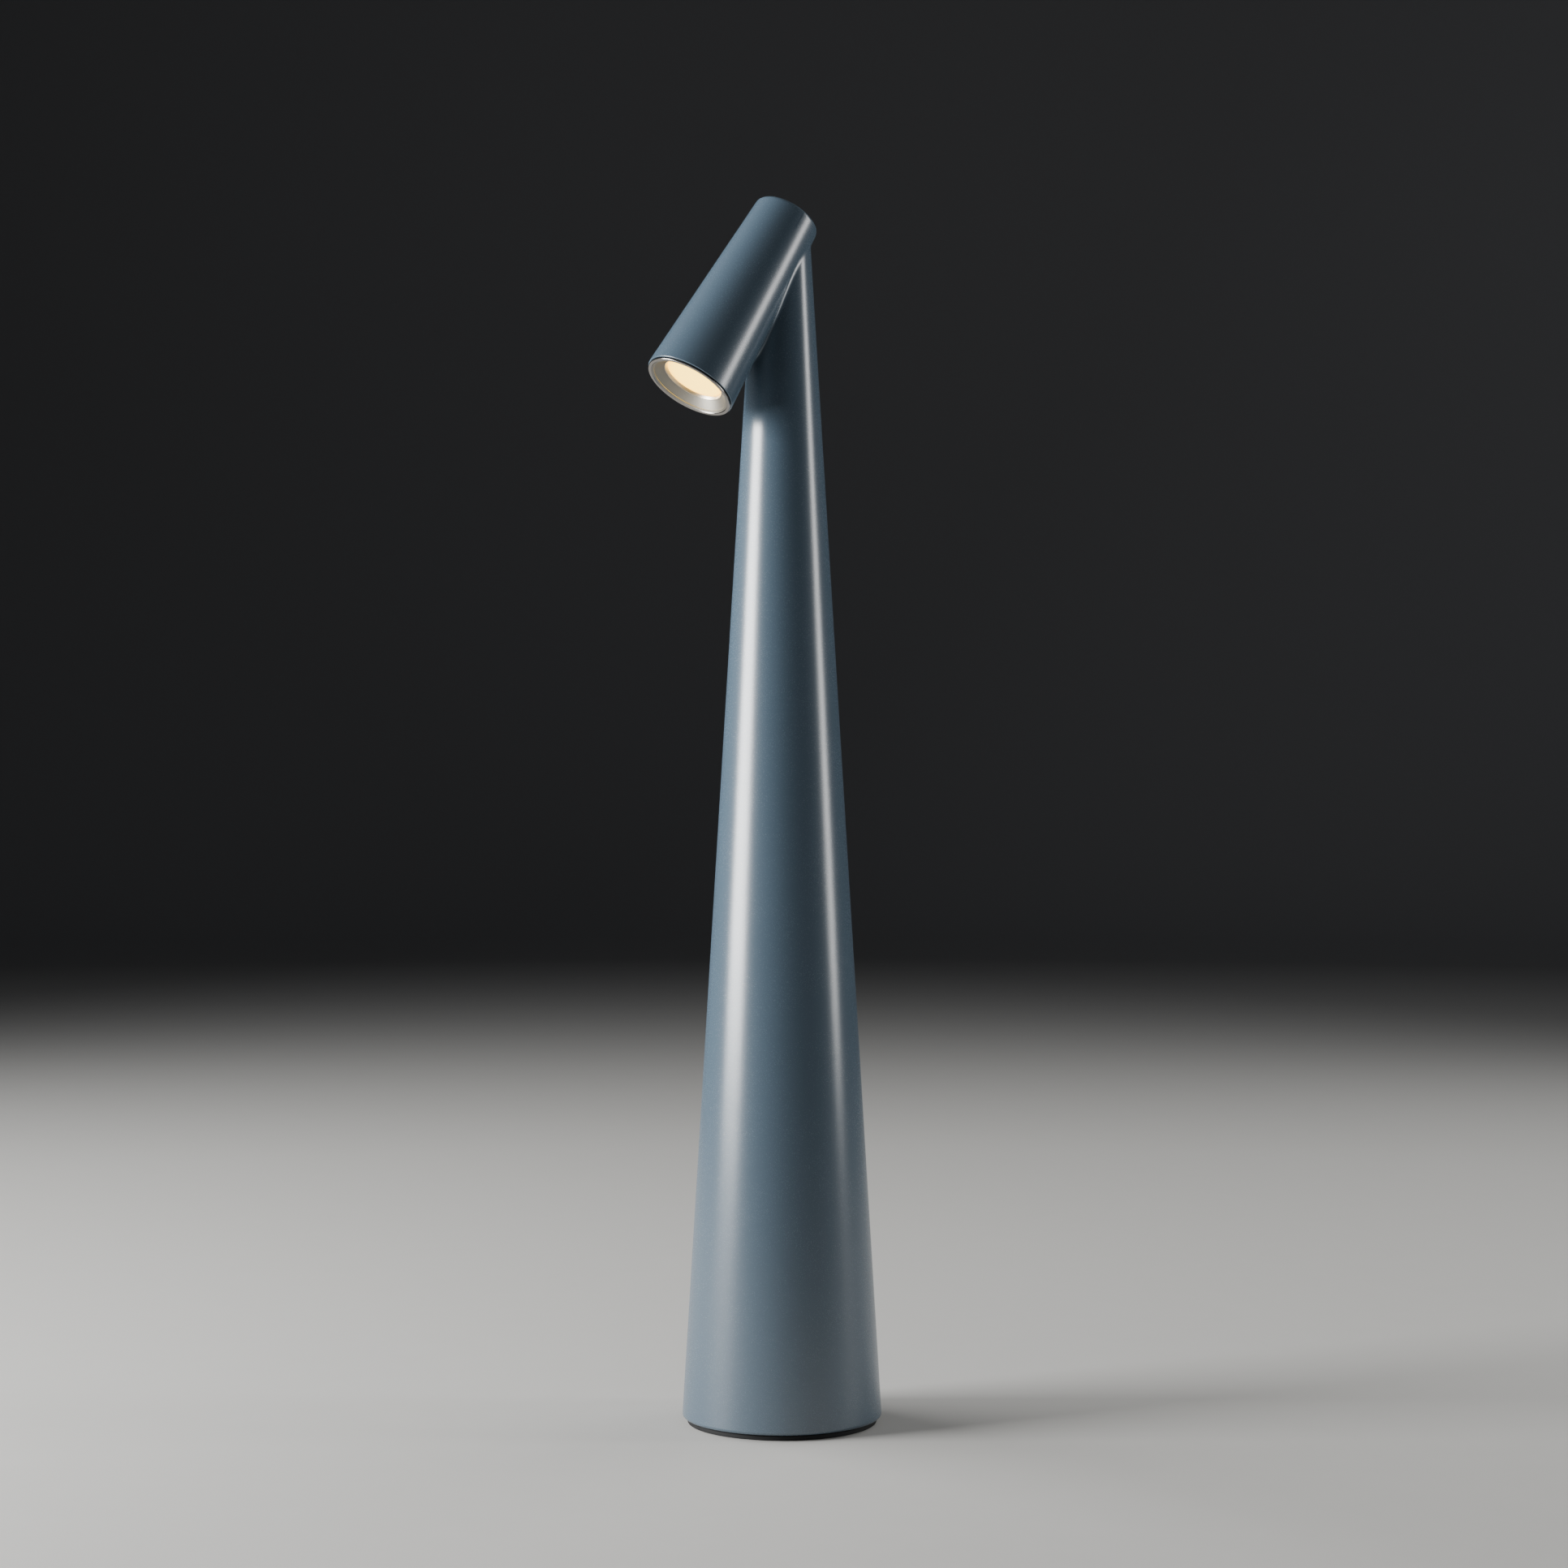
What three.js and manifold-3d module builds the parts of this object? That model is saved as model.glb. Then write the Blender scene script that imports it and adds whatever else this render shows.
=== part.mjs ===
// Cordless table lamp: a tapered column and a tilted spot head cast as one hollow shell.
// The base holds ballast, two rechargeable cells and a board with a charging socket and a
// push button. The head holds a wedge-shaped heat sink, an LED board, optics and a bezel.
//
// Millimetres, +Z up. The origin is the centre of the foot's underside. The head faces -Y,
// the button and the charging socket face +Y, and X = 0 is the lamp's mirror plane.

import * as THREE from 'three';
import { mergeVertices } from 'three/addons/utils/BufferGeometryUtils.js';
import Module from 'manifold-3d';

const wasm = await Module();
wasm.setup();

// ---- driving dimensions ---------------------------------------------------------------

const GAP = 0.3;                                 // clearance between neighbouring pieces
const ROUND = 72;                                // sides of the large round pieces
const FINE = 48;                                 // sides of the optics and discs
const SMALL = 20;                                // sides of screws and pins

const FOOT = { radius: 33.2, height: 1.6 };
const BODY_Z = FOOT.height + GAP;                // underside of the casting

const COLUMN = { baseRadius: 35, taper: 0.0608, wall: 2.6, edge: 1.2 };
COLUMN.top = BODY_Z + 411.5;                     // hidden inside the head
COLUMN.cavityTop = BODY_Z + 398;

const HEAD = { tilt: 33.2, back: -4.2, front: 70.4, backRadius: 11.94, taper: 0.0582 };
HEAD.crossing = BODY_Z + 417.7;                  // where its axis meets the column's
HEAD.wall = 1.9;
HEAD.endWall = 2.4;
HEAD.edge = 1.4;
HEAD.mouthChamfer = 1.4;

const PLATE = { radius: 31.6, height: 3 };
const BALLAST = { radius: 30.6, height: 14 };
const BOSS = { ring: 28.4, radius: 4.2, height: 13, angles: [30, 150, 270] };
const CELL = { radius: 9.25, length: 65, spacing: 19.2, y: 6 };
const BOARD = { width: 26, thickness: 1.6, face: 23.2, bottom: 22, top: 76 };

const REAR_WALL = [25, 40];                      // the stretch of Y that a cut through it spans
const PORT = { z: 27, width: 8.94, height: 3.26, front: 33, depth: 6.2 };
PORT.tongue = { halfWidth: 3.35, halfHeight: 0.35, setBack: 0.6 };
const FRAME = { halfWidth: 5.9, halfHeight: 3, openWidth: 4.8, openHeight: 1.95 };
FRAME.flange = { halfWidth: 7.4, halfHeight: 4.4, back: 28.2, front: 29.5 };
const PILOT = { z: 36, radius: 1.1, collar: 1.9, collarBack: 28, collarFront: 29 };
const BUTTON = { z: 46, radius: 4.5, flange: 5.7, back: 27.5, proud: 0.6, clearance: 0.4 };
BUTTON.flangeHeight = 0.9;
const INDICATOR = { width: 1.6, height: 0.8 };   // the small lamp behind the light pipe
const INDUCTOR = { x: [-6.5, 0.5], z: [56.5, 63.5], height: 3.5 };
const CHIP = { x: [4.5, 9.5], z: [55.5, 60.5], height: 1 };
const CONNECTOR = { x: [-3.2, 3.2], z: [68, 73], height: 3.5 };
const SWITCH = { size: 6.2, height: 2.9, plunger: 1.75, bore: 2.05 };

// Screws: head radius and height, shank radius, and the clearance hole they pass through.
const BASE_SCREW = { head: 2.75, height: 1.6, shank: 1.5, hole: 1.8, reach: 8.5 };
BASE_SCREW.sink = { radius: 3.1, depth: 2 };
const TRAY_SCREW = { head: 2.2, height: 1.5, shank: 1.25, hole: 1.6, reach: 7 };
const FINE_SCREW = { head: 1.9, height: 1, shank: 1, hole: 1.3 };

const TRAY = { radius: 29, height: 2, lip: 12, lipBack: -5.6, lipFront: -3.8 };
const TRAY_SCREWS = [[-22, -10, 0], [22, -10, 0]];
const UPRIGHT = { halfWidth: 17, front: 16, back: 18, top: 82 };
const BOARD_POSTS = [[-10, 68], [10, 34], [10, 68], [-10, 34]];
const BOARD_SCREWS = BOARD_POSTS.slice(0, 2);    // the other two posts only support it
const POST_RADIUS = 2.6;
const CAP = { wall: 1.2, skirt: 0.5, roof: 2 };
const LEAD = { battery: 0.9, batteryHole: 1.3, head: 1.2, headHole: 1.7, offset: 8.4 };

const BEZEL = { back: 66.5, flange: 70.75, front: 71.25, outer: 15.85, spigot: 13.85 };
BEZEL.lip = 14.5;                                // inner edge of the polished rim
BEZEL.throat = 11.45;                            // narrow end of the conical face
BEZEL.throatTop = 68.2;
const LENS = { radius: 10.35, back: 65.5, front: 67.2 };
const LENS_RING = { outer: 11.15, shoulder: 9.6, back: 64.6, front: 68.05 };
const SINK = { back: 36, plate: 52, front: 56, slots: 8, slotWidth: 1.6, core: 4 };
const SEAL = { radius: 14.6, centre: 70.15, section: 0.38 };
const LED = { board: 12.6, boardHeight: 1.6, radius: 4.6, height: 1, screwRing: 9 };

// ---- sizes worked out from them -------------------------------------------------------

const columnRadius = (z) => COLUMN.baseRadius - COLUMN.taper * (z - BODY_Z);
const headRadius = (t) => HEAD.backRadius + HEAD.taper * (t - HEAD.back);
const boreRadius = (t) => headRadius(t) - HEAD.wall;
const plateTop = BODY_Z + PLATE.height;
const ballastBottom = plateTop + GAP;
const ballastTop = ballastBottom + BALLAST.height;
const trayBottom = ballastTop + GAP;
const trayTop = trayBottom + TRAY.height;
const cellBottom = trayTop + GAP;
const cellTop = cellBottom + CELL.length;
const boardBack = BOARD.face - BOARD.thickness;
const onBoard = BOARD.face + GAP;                // where parts on the board begin

// ---- materials ------------------------------------------------------------------------

const finish = (color, roughness, metalness) =>
  new THREE.MeshStandardMaterial({ color, roughness, metalness });

const paint = () => finish(0x5d7587, 0.42, 0.3);
const rubber = () => finish(0x17181a, 0.85, 0);
const steel = () => finish(0x8e9194, 0.4, 0.9);
const aluminium = () => finish(0xc9c8c4, 0.3, 1);
const blackPlastic = () => finish(0x202224, 0.6, 0);
const whitePlastic = () => finish(0xe9e7e1, 0.5, 0);
const boardGreen = () => finish(0x1f5a3a, 0.55, 0);
const cellWrap = () => finish(0x3f7fae, 0.45, 0);
const cable = () => finish(0xb9b6ae, 0.6, 0);
const opal = () => finish(0xffe9c2, 0.35, 0);
const phosphor = () => finish(0xf2c84b, 0.5, 0);
const clear = () => finish(0xf4f6f7, 0.15, 0);

// ---- solid helpers --------------------------------------------------------------------

// A closed three.js geometry as a solid that can be joined and cut.
function solid(geometry) {
  const bare = geometry.clone();
  bare.deleteAttribute('normal');
  bare.deleteAttribute('uv');
  const merged = mergeVertices(bare);
  const index = merged.index.array;
  const kept = [];
  for (let i = 0; i < index.length; i += 3) {
    const [a, b, c] = [index[i], index[i + 1], index[i + 2]];
    if (a !== b && b !== c && c !== a) kept.push(a, b, c);
  }
  const mesh = new wasm.Mesh({
    numProp: 3,
    vertProperties: new Float32Array(merged.attributes.position.array),
    triVerts: new Uint32Array(kept),
  });
  return new wasm.Manifold(mesh);
}

function geometryOf(manifold) {
  const mesh = manifold.getMesh();
  const geometry = new THREE.BufferGeometry();
  geometry.setAttribute('position', new THREE.BufferAttribute(mesh.vertProperties, 3));
  geometry.setIndex(new THREE.BufferAttribute(mesh.triVerts, 1));
  geometry.computeVertexNormals();
  return geometry;
}

// Solid of revolution about Z from [radius, height] points, counter-clockwise.
function turned(points, sides) {
  const profile = points.map(([r, h]) => new THREE.Vector2(r, h));
  const geometry = new THREE.LatheGeometry(profile, sides);
  geometry.rotateX(Math.PI / 2);
  return solid(geometry);
}

const ring = (points, sides) => turned([...points, points[0]], sides);

const rod = (radius, low, high, sides = SMALL) =>
  turned([[0, low], [radius, low], [radius, high], [0, high]], sides);

// The same rod lying along Y, at height z.
function rodAlongY(radius, y0, y1, x, z, sides = SMALL) {
  return rod(radius, y0, y1, sides).rotate([-90, 0, 0]).translate([x, 0, z]);
}

function block([x0, x1], [y0, y1], [z0, z1]) {
  const geometry = new THREE.BoxGeometry(x1 - x0, y1 - y0, z1 - z0);
  geometry.translate((x0 + x1) / 2, (y0 + y1) / 2, (z0 + z1) / 2);
  return solid(geometry);
}

function stadiumShape(halfWidth, halfHeight) {
  const straight = halfWidth - halfHeight;
  const shape = new THREE.Shape();
  shape.absarc(straight, 0, halfHeight, -Math.PI / 2, Math.PI / 2);
  shape.absarc(-straight, 0, halfHeight, Math.PI / 2, (3 * Math.PI) / 2);
  return shape;
}

// Slot-shaped bar along Y from y0 to y1, lying flat at height z.
function slotBar(halfWidth, halfHeight, y0, y1, z) {
  const options = { depth: y1 - y0, bevelEnabled: false, curveSegments: 8 };
  const geometry = new THREE.ExtrudeGeometry(stadiumShape(halfWidth, halfHeight), options);
  geometry.rotateX(Math.PI / 2);
  geometry.translate(0, y1, z);
  return solid(geometry);
}

// Upright bar with the outline of the two cells side by side.
function cellOutline(margin, low, high) {
  const radius = CELL.radius + margin;
  const shape = stadiumShape(CELL.spacing / 2 + radius, radius);
  const options = { depth: high - low, bevelEnabled: false, curveSegments: 14 };
  const geometry = new THREE.ExtrudeGeometry(shape, options);
  geometry.translate(0, CELL.y, low);
  return solid(geometry);
}

// Round cable along a smooth curve through the points.
function cableAlong(points, radius, steps) {
  const path = new THREE.CatmullRomCurve3(points.map((p) => new THREE.Vector3(...p)));
  const section = new THREE.Shape();
  for (let i = 0; i < 8; i += 1) {
    const angle = (i * Math.PI) / 4;
    const corner = [radius * Math.cos(angle), radius * Math.sin(angle)];
    if (i === 0) section.moveTo(...corner);
    else section.lineTo(...corner);
  }
  section.closePath();
  return new THREE.ExtrudeGeometry(section, { steps, extrudePath: path, curveSegments: 1 });
}

// Points of a quarter round from angle a to angle b, in degrees, about [r, h].
function quarter([r, h], radius, a, b, parts = 4) {
  return Array.from({ length: parts + 1 }, (_, i) => {
    const angle = THREE.MathUtils.degToRad(a + ((b - a) * i) / parts);
    return [r + radius * Math.cos(angle), h + radius * Math.sin(angle)];
  });
}

// The column's outer cone, larger all round by the margin: it trims what meets the surface.
const columnCone = (margin, low, high) =>
  turned([
    [0, low],
    [columnRadius(low) + margin, low],
    [columnRadius(high) + margin, high],
    [0, high],
  ], ROUND);

// Head coordinates: t runs along the head's axis from the crossing towards the mouth.
const toHead = new THREE.Group();
toHead.position.set(0, 0, HEAD.crossing);
toHead.rotation.x = Math.PI - THREE.MathUtils.degToRad(HEAD.tilt);
toHead.updateMatrix();
const inHead = (manifold) => manifold.transform(toHead.matrix.toArray());

const lamp = new THREE.Group();
const head = new THREE.Group();
head.applyMatrix4(toHead.matrix);
lamp.add(head);

function place(name, shape, material, parent = lamp) {
  const geometry = shape.isBufferGeometry ? shape : geometryOf(shape);
  const mesh = new THREE.Mesh(geometry, material);
  mesh.name = name;
  parent.add(mesh);
}

const onRing = (radius, degrees) => {
  const angle = THREE.MathUtils.degToRad(degrees);
  return [radius * Math.cos(angle), radius * Math.sin(angle), 0];
};

// ---- body shell -----------------------------------------------------------------------

function columnOutside() {
  const corner = [COLUMN.baseRadius - COLUMN.edge, BODY_Z + COLUMN.edge];
  return turned([
    [0, BODY_Z],
    ...quarter(corner, COLUMN.edge, -90, 0),
    [columnRadius(COLUMN.top), COLUMN.top],
    [0, COLUMN.top],
  ], ROUND);
}

function headOutside() {
  const corner = [headRadius(HEAD.back) - HEAD.edge, HEAD.back + HEAD.edge];
  return turned([
    [0, HEAD.back],
    ...quarter(corner, HEAD.edge, -90, 0),
    [headRadius(HEAD.front), HEAD.front],
    [0, HEAD.front],
  ], ROUND);
}

function columnCavity() {
  const low = BODY_Z - 1;
  return turned([
    [0, low],
    [columnRadius(low) - COLUMN.wall, low],
    [columnRadius(COLUMN.cavityTop) - COLUMN.wall, COLUMN.cavityTop],
    [0, COLUMN.cavityTop],
  ], FINE);
}

// The head's bore, with a chamfer at the mouth for the bezel's seal.
function headBore() {
  const back = HEAD.back + HEAD.endWall;
  const chamferStart = HEAD.front - HEAD.mouthChamfer;
  const bore = boreRadius(chamferStart);
  return turned([
    [0, back],
    [boreRadius(back), back],
    [bore, chamferStart],
    [bore + HEAD.mouthChamfer + 1, HEAD.front + 1],
    [0, HEAD.front + 1],
  ], FINE);
}

// Three bosses inside the base take the base plate's screws.
function withBosses(shell) {
  const high = ballastBottom + BOSS.height;
  const inTheWall = columnCone(-0.5, BODY_Z, high + 1);
  for (const angle of BOSS.angles) {
    const spot = onRing(BOSS.ring, angle);
    const boss = rod(BOSS.radius, ballastBottom, high, SMALL).translate(spot);
    shell = shell.add(boss.intersect(inTheWall));
    shell = shell.subtract(rod(BASE_SCREW.hole, BODY_Z, high - 3).translate(spot));
  }
  return shell;
}

// The rear wall is cut for the charging socket, the pilot light and the button.
function withRearHoles(shell) {
  const portHole = [FRAME.halfWidth + GAP, FRAME.halfHeight + GAP];
  const buttonHole = BUTTON.radius + BUTTON.clearance;
  return shell
    .subtract(slotBar(...portHole, ...REAR_WALL, PORT.z))
    .subtract(rodAlongY(PILOT.radius + GAP, ...REAR_WALL, 0, PILOT.z))
    .subtract(rodAlongY(buttonHole, ...REAR_WALL, 0, BUTTON.z, FINE));
}

function bodyShell() {
  const form = columnOutside().add(inHead(headOutside()));
  const hollow = form.subtract(columnCavity()).subtract(inHead(headBore()));
  return withRearHoles(withBosses(hollow));
}

place('body_shell', bodyShell(), paint());

// ---- foot, plate and ballast ----------------------------------------------------------

place('foot_pad', turned([
  [0, 0],
  [FOOT.radius - 0.3, 0],
  [FOOT.radius, 0.3],
  [FOOT.radius, FOOT.height],
  [0, FOOT.height],
], ROUND), rubber());

function basePlate() {
  let plate = rod(PLATE.radius, BODY_Z, plateTop, ROUND);
  for (const angle of BOSS.angles) {
    const { hole, sink } = BASE_SCREW;
    const cut = rod(hole, BODY_Z - 1, plateTop + 1)
      .add(rod(sink.radius, BODY_Z - 1, BODY_Z + sink.depth));
    plate = plate.subtract(cut.translate(onRing(BOSS.ring, angle)));
  }
  return plate;
}

// Upright screw with its head from low upwards, and a hexagon recess in the head's free end.
function screw({ head: headSize, height, shank: shankSize }, low, shankEnd) {
  const high = low + height;
  const headAbove = shankEnd < low;
  const shank = headAbove
    ? rod(shankSize, shankEnd, low + 0.1)
    : rod(shankSize, high - 0.1, shankEnd);
  const depth = height * 0.6;
  const recess = headAbove
    ? rod(headSize * 0.45, high - depth, high + 1, 6)
    : rod(headSize * 0.45, low - 1, low + depth, 6);
  return rod(headSize, low, high).add(shank).subtract(recess);
}

function ballast() {
  let weight = rod(BALLAST.radius, ballastBottom, ballastTop, ROUND);
  for (const angle of BOSS.angles) {
    const notch = rod(BOSS.radius + 0.4, ballastBottom - 1, ballastTop + 1, SMALL);
    weight = weight.subtract(notch.translate(onRing(BOSS.ring, angle)));
  }
  for (const spot of TRAY_SCREWS) {
    const hole = rod(TRAY_SCREW.hole, ballastTop - TRAY_SCREW.reach - 1, ballastTop + 1);
    weight = weight.subtract(hole.translate(spot));
  }
  return weight;
}

place('base_plate', basePlate(), steel());
place('ballast_weight', ballast(), steel());
BOSS.angles.forEach((angle, i) => {
  const bolt = screw(BASE_SCREW, BODY_Z + 0.2, ballastBottom + BASE_SCREW.reach);
  place(`base_screw_${i + 1}`, bolt.translate(onRing(BOSS.ring, angle)), steel());
});

// ---- cells and their cradle -----------------------------------------------------------

function cradle() {
  const { halfWidth, front, back, top } = UPRIGHT;
  const across = [-halfWidth, halfWidth];
  let tray = rod(TRAY.radius, trayBottom, trayTop, FINE)
    .add(block(across, [front, back], [trayBottom, top]))
    .add(block(across, [TRAY.lipBack, TRAY.lipFront], [trayBottom, trayTop + TRAY.lip]));
  for (const [x, z] of BOARD_POSTS) {
    tray = tray.add(rodAlongY(POST_RADIUS, front + 1, boardBack - GAP, x, z));
  }
  for (const [x, z] of BOARD_SCREWS) {
    tray = tray.subtract(rodAlongY(FINE_SCREW.hole, front - 1, boardBack + 1, x, z));
  }
  for (const spot of TRAY_SCREWS) {
    tray = tray.subtract(rod(TRAY_SCREW.hole, trayBottom - 1, trayTop + 1).translate(spot));
  }
  return tray;
}

function cell() {
  const { radius } = CELL;
  return turned([
    [0, cellBottom],
    [radius - 0.5, cellBottom],
    [radius, cellBottom + 0.5],
    [radius, cellTop - 1.5],
    [radius - 0.5, cellTop - 1],
    [3, cellTop - 1],
    [3, cellTop],
    [0, cellTop],
  ], 32);
}

function cellCap() {
  const low = UPRIGHT.top + CAP.skirt;
  const cap = cellOutline(GAP + CAP.wall, low, cellTop + GAP + CAP.roof);
  const leadHole = rod(LEAD.batteryHole, cellTop, cellTop + 5)
    .translate([CELL.spacing / 2, CELL.y, 0]);
  return cap.subtract(cellOutline(GAP, low - 1, cellTop + GAP)).subtract(leadHole);
}

place('battery_cradle', cradle(), blackPlastic());
TRAY_SCREWS.forEach((spot, i) => {
  const bolt = screw(TRAY_SCREW, trayTop + GAP, ballastTop - TRAY_SCREW.reach);
  place(`cradle_screw_${i + 1}`, bolt.translate(spot), steel());
});
[-1, 1].forEach((side, i) => {
  const spot = [(side * CELL.spacing) / 2, CELL.y, 0];
  place(`battery_cell_${i + 1}`, cell().translate(spot), cellWrap());
});
place('cell_cap', cellCap(), blackPlastic());

// ---- board and what stands on it ------------------------------------------------------

function controlBoard() {
  const half = BOARD.width / 2;
  let board = block([-half, half], [boardBack, BOARD.face], [BOARD.bottom, BOARD.top]);
  for (const [x, z] of BOARD_SCREWS) {
    board = board.subtract(rodAlongY(FINE_SCREW.hole, boardBack - 1, BOARD.face + 1, x, z));
  }
  return board;
}

// The socket's shell with its contact tongue standing in it.
function chargingSocket() {
  const halfWidth = PORT.width / 2;
  const halfHeight = PORT.height / 2;
  const inside = PORT.front - PORT.depth;
  const mouth = slotBar(halfWidth - GAP, halfHeight - GAP, inside, PORT.front + 1, PORT.z);
  const { halfWidth: tongueWidth, halfHeight: tongueHeight, setBack } = PORT.tongue;
  const tongue = block(
    [-tongueWidth, tongueWidth],
    [inside - 1, PORT.front - setBack],
    [PORT.z - tongueHeight, PORT.z + tongueHeight],
  );
  return slotBar(halfWidth, halfHeight, onBoard, PORT.front, PORT.z)
    .subtract(mouth)
    .add(tongue);
}

function portFrame() {
  const { flange } = FRAME;
  const neck = slotBar(FRAME.halfWidth, FRAME.halfHeight, flange.front - 0.9, 36, PORT.z)
    .intersect(columnCone(-0.05, PORT.z - 10, PORT.z + 10));
  return neck
    .add(slotBar(flange.halfWidth, flange.halfHeight, flange.back, flange.front, PORT.z))
    .subtract(slotBar(FRAME.openWidth, FRAME.openHeight, ...REAR_WALL, PORT.z));
}

function lightPipe() {
  const { radius, z, collar, collarBack, collarFront } = PILOT;
  return rodAlongY(radius, onBoard + INDICATOR.height + GAP, 35, 0, z, 16)
    .intersect(columnCone(-0.05, z - 10, z + 10))
    .add(rodAlongY(collar, collarBack, collarFront, 0, z, 16));
}

// The button's face follows the column's cone and stands a little proud of it.
function powerButton() {
  const { radius, flange, flangeHeight, back, proud, z } = BUTTON;
  return rodAlongY(radius, back + flangeHeight / 2, 36, 0, z, FINE)
    .intersect(columnCone(proud, z - 10, z + 10))
    .add(rodAlongY(flange, back, back + flangeHeight, 0, z, FINE));
}

function tactSwitch() {
  const half = SWITCH.size / 2;
  const top = onBoard + SWITCH.height;
  return block([-half, half], [onBoard, top], [BUTTON.z - half, BUTTON.z + half])
    .subtract(rodAlongY(SWITCH.bore, onBoard + 0.6, top + 1, 0, BUTTON.z));
}

place('control_board', controlBoard(), boardGreen());
BOARD_SCREWS.forEach(([x, z], i) => {
  const bolt = screw(FINE_SCREW, onBoard, onBoard - 6.5);
  place(`board_screw_${i + 1}`, bolt.rotate([-90, 0, 0]).translate([x, 0, z]), steel());
});
place('usb_socket', chargingSocket(), steel());
place('port_frame', portFrame(), blackPlastic());
place('charge_indicator', block(
  [-INDICATOR.width / 2, INDICATOR.width / 2],
  [onBoard, onBoard + INDICATOR.height],
  [PILOT.z - INDICATOR.height / 2, PILOT.z + INDICATOR.height / 2],
), phosphor());
place('charge_light_pipe', lightPipe(), clear());
place('tact_switch', tactSwitch(), blackPlastic());
place('switch_plunger',
  rodAlongY(SWITCH.plunger, onBoard + 1.4, BUTTON.back - GAP, 0, BUTTON.z), blackPlastic());
place('power_button', powerButton(), aluminium());
const standing = ({ x, z, height }) => block(x, [onBoard, onBoard + height], z);
place('driver_inductor', standing(INDUCTOR), blackPlastic());
place('driver_chip', standing(CHIP), blackPlastic());
place('lead_connector', standing(CONNECTOR), whitePlastic());
place('battery_lead', cableAlong([
  [CELL.spacing / 2, CELL.y, cellTop + 1.2],
  [9.5, 7, cellTop + 6],
  [9.3, 13, cellTop + 8.5],
  [9, 19.5, cellTop + 4],
  [8.8, 22.4, BOARD.top + 7],
  [8.8, 22.4, BOARD.top + GAP],
], LEAD.battery, 24), cable());

// ---- light head -----------------------------------------------------------------------

// Point of the YZ plane given in head coordinates: along the axis and up from it.
function headPoint(along, up) {
  const point = new THREE.Vector3(0, up, along).applyMatrix4(toHead.matrix);
  return point.toArray();
}

// The lead leaves its connector upwards, climbs the column and passes the heat sink beside
// its core.
place('head_lead', cableAlong([
  [0, 25.2, CONNECTOR.z[1] + GAP],
  [0, 24.4, 80],
  [0, 20, 102],
  [0, 11, 150],
  [0, 4, 220],
  [0, 1, 300],
  [0, 0, 370],
  [0, -1.5, 400],
  headPoint(14, 3.5),
  headPoint(26, LEAD.offset - 1),
  headPoint(38, LEAD.offset),
  headPoint(SINK.front - 2, LEAD.offset),
], LEAD.head, 64), cable());

// A wedge that seats in the tapering bore, its rear slotted into fins round a solid core.
function heatSink() {
  const sinkRadius = (t) => boreRadius(t) - GAP;
  let sink = turned([
    [0, SINK.back],
    [sinkRadius(SINK.back), SINK.back],
    [sinkRadius(SINK.front), SINK.front],
    [0, SINK.front],
  ], FINE);
  const half = SINK.slotWidth / 2;
  for (let i = 0; i < SINK.slots; i += 1) {
    const slot = block([SINK.core, 20], [-half, half], [SINK.back - 1, SINK.plate]);
    sink = sink.subtract(slot.rotate([0, 0, (360 * (i + 0.5)) / SINK.slots]));
  }
  const leadHole = rod(LEAD.headHole, SINK.back - 1, SINK.front + 1);
  sink = sink.subtract(leadHole.translate([0, LEAD.offset, 0]));
  for (const side of [-1, 1]) {
    const hole = rod(FINE_SCREW.hole, SINK.front - 3.5, SINK.front + 1);
    sink = sink.subtract(hole.translate([side * LED.screwRing, 0, 0]));
  }
  return sink;
}

const ledBack = SINK.front + GAP;
const ledFace = ledBack + LED.boardHeight;
const emitterFront = ledFace + GAP + LED.height;

function ledBoard() {
  let board = rod(LED.board, ledBack, ledFace, FINE);
  for (const side of [-1, 1]) {
    const hole = rod(FINE_SCREW.hole, ledBack - 1, ledFace + 1);
    board = board.subtract(hole.translate([side * LED.screwRing, 0, 0]));
  }
  return board;
}

place('heat_sink', heatSink(), aluminium(), head);
place('led_board', ledBoard(), whitePlastic(), head);
[-1, 1].forEach((side, i) => {
  const bolt = screw(FINE_SCREW, ledFace + GAP, SINK.front - 3);
  place(`led_screw_${i + 1}`, bolt.translate([side * LED.screwRing, 0, 0]), steel(), head);
});
place('led_emitter', rod(LED.radius, ledFace + GAP, emitterFront, FINE), phosphor(), head);

// White cup that mixes the light between the emitter and the opal lens.
place('mixing_cup', ring([
  [5.2, emitterFront + GAP],
  [6.2, emitterFront + GAP],
  [10.2, LENS_RING.back - GAP],
  [9.4, LENS_RING.back - GAP],
], FINE), whitePlastic(), head);

place('lens_ring', ring([
  [LENS_RING.shoulder, LENS_RING.back],
  [LENS_RING.outer, LENS_RING.back],
  [LENS_RING.outer, LENS_RING.front - 0.15],
  [LENS_RING.outer - 0.1, LENS_RING.front],
  [LENS.radius + GAP, LENS_RING.front],
  [LENS.radius + GAP, LENS.back - GAP],
  [LENS_RING.shoulder, LENS.back - GAP],
], FINE), aluminium(), head);

place('diffuser_lens', turned([
  [0, LENS.back],
  [LENS.radius, LENS.back],
  [LENS.radius, LENS.front - 0.2],
  [LENS.radius - 0.2, LENS.front],
  [0, LENS.front],
], FINE), opal(), head);

place('front_bezel', ring([
  [BEZEL.throat, BEZEL.throatTop],
  [BEZEL.throat, BEZEL.back],
  [BEZEL.spigot, BEZEL.back],
  [BEZEL.spigot, BEZEL.flange],
  [BEZEL.outer, BEZEL.flange],
  [BEZEL.outer - 0.25, BEZEL.front],
  [BEZEL.lip, BEZEL.front],
], ROUND), aluminium(), head);

// Round cord seal in the chamfer of the head's mouth, under the bezel's flange.
place('bezel_seal', turned(
  quarter([SEAL.radius, SEAL.centre], SEAL.section, 0, 360, 8), FINE), rubber(), head);

export default lamp;
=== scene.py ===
import math

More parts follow.
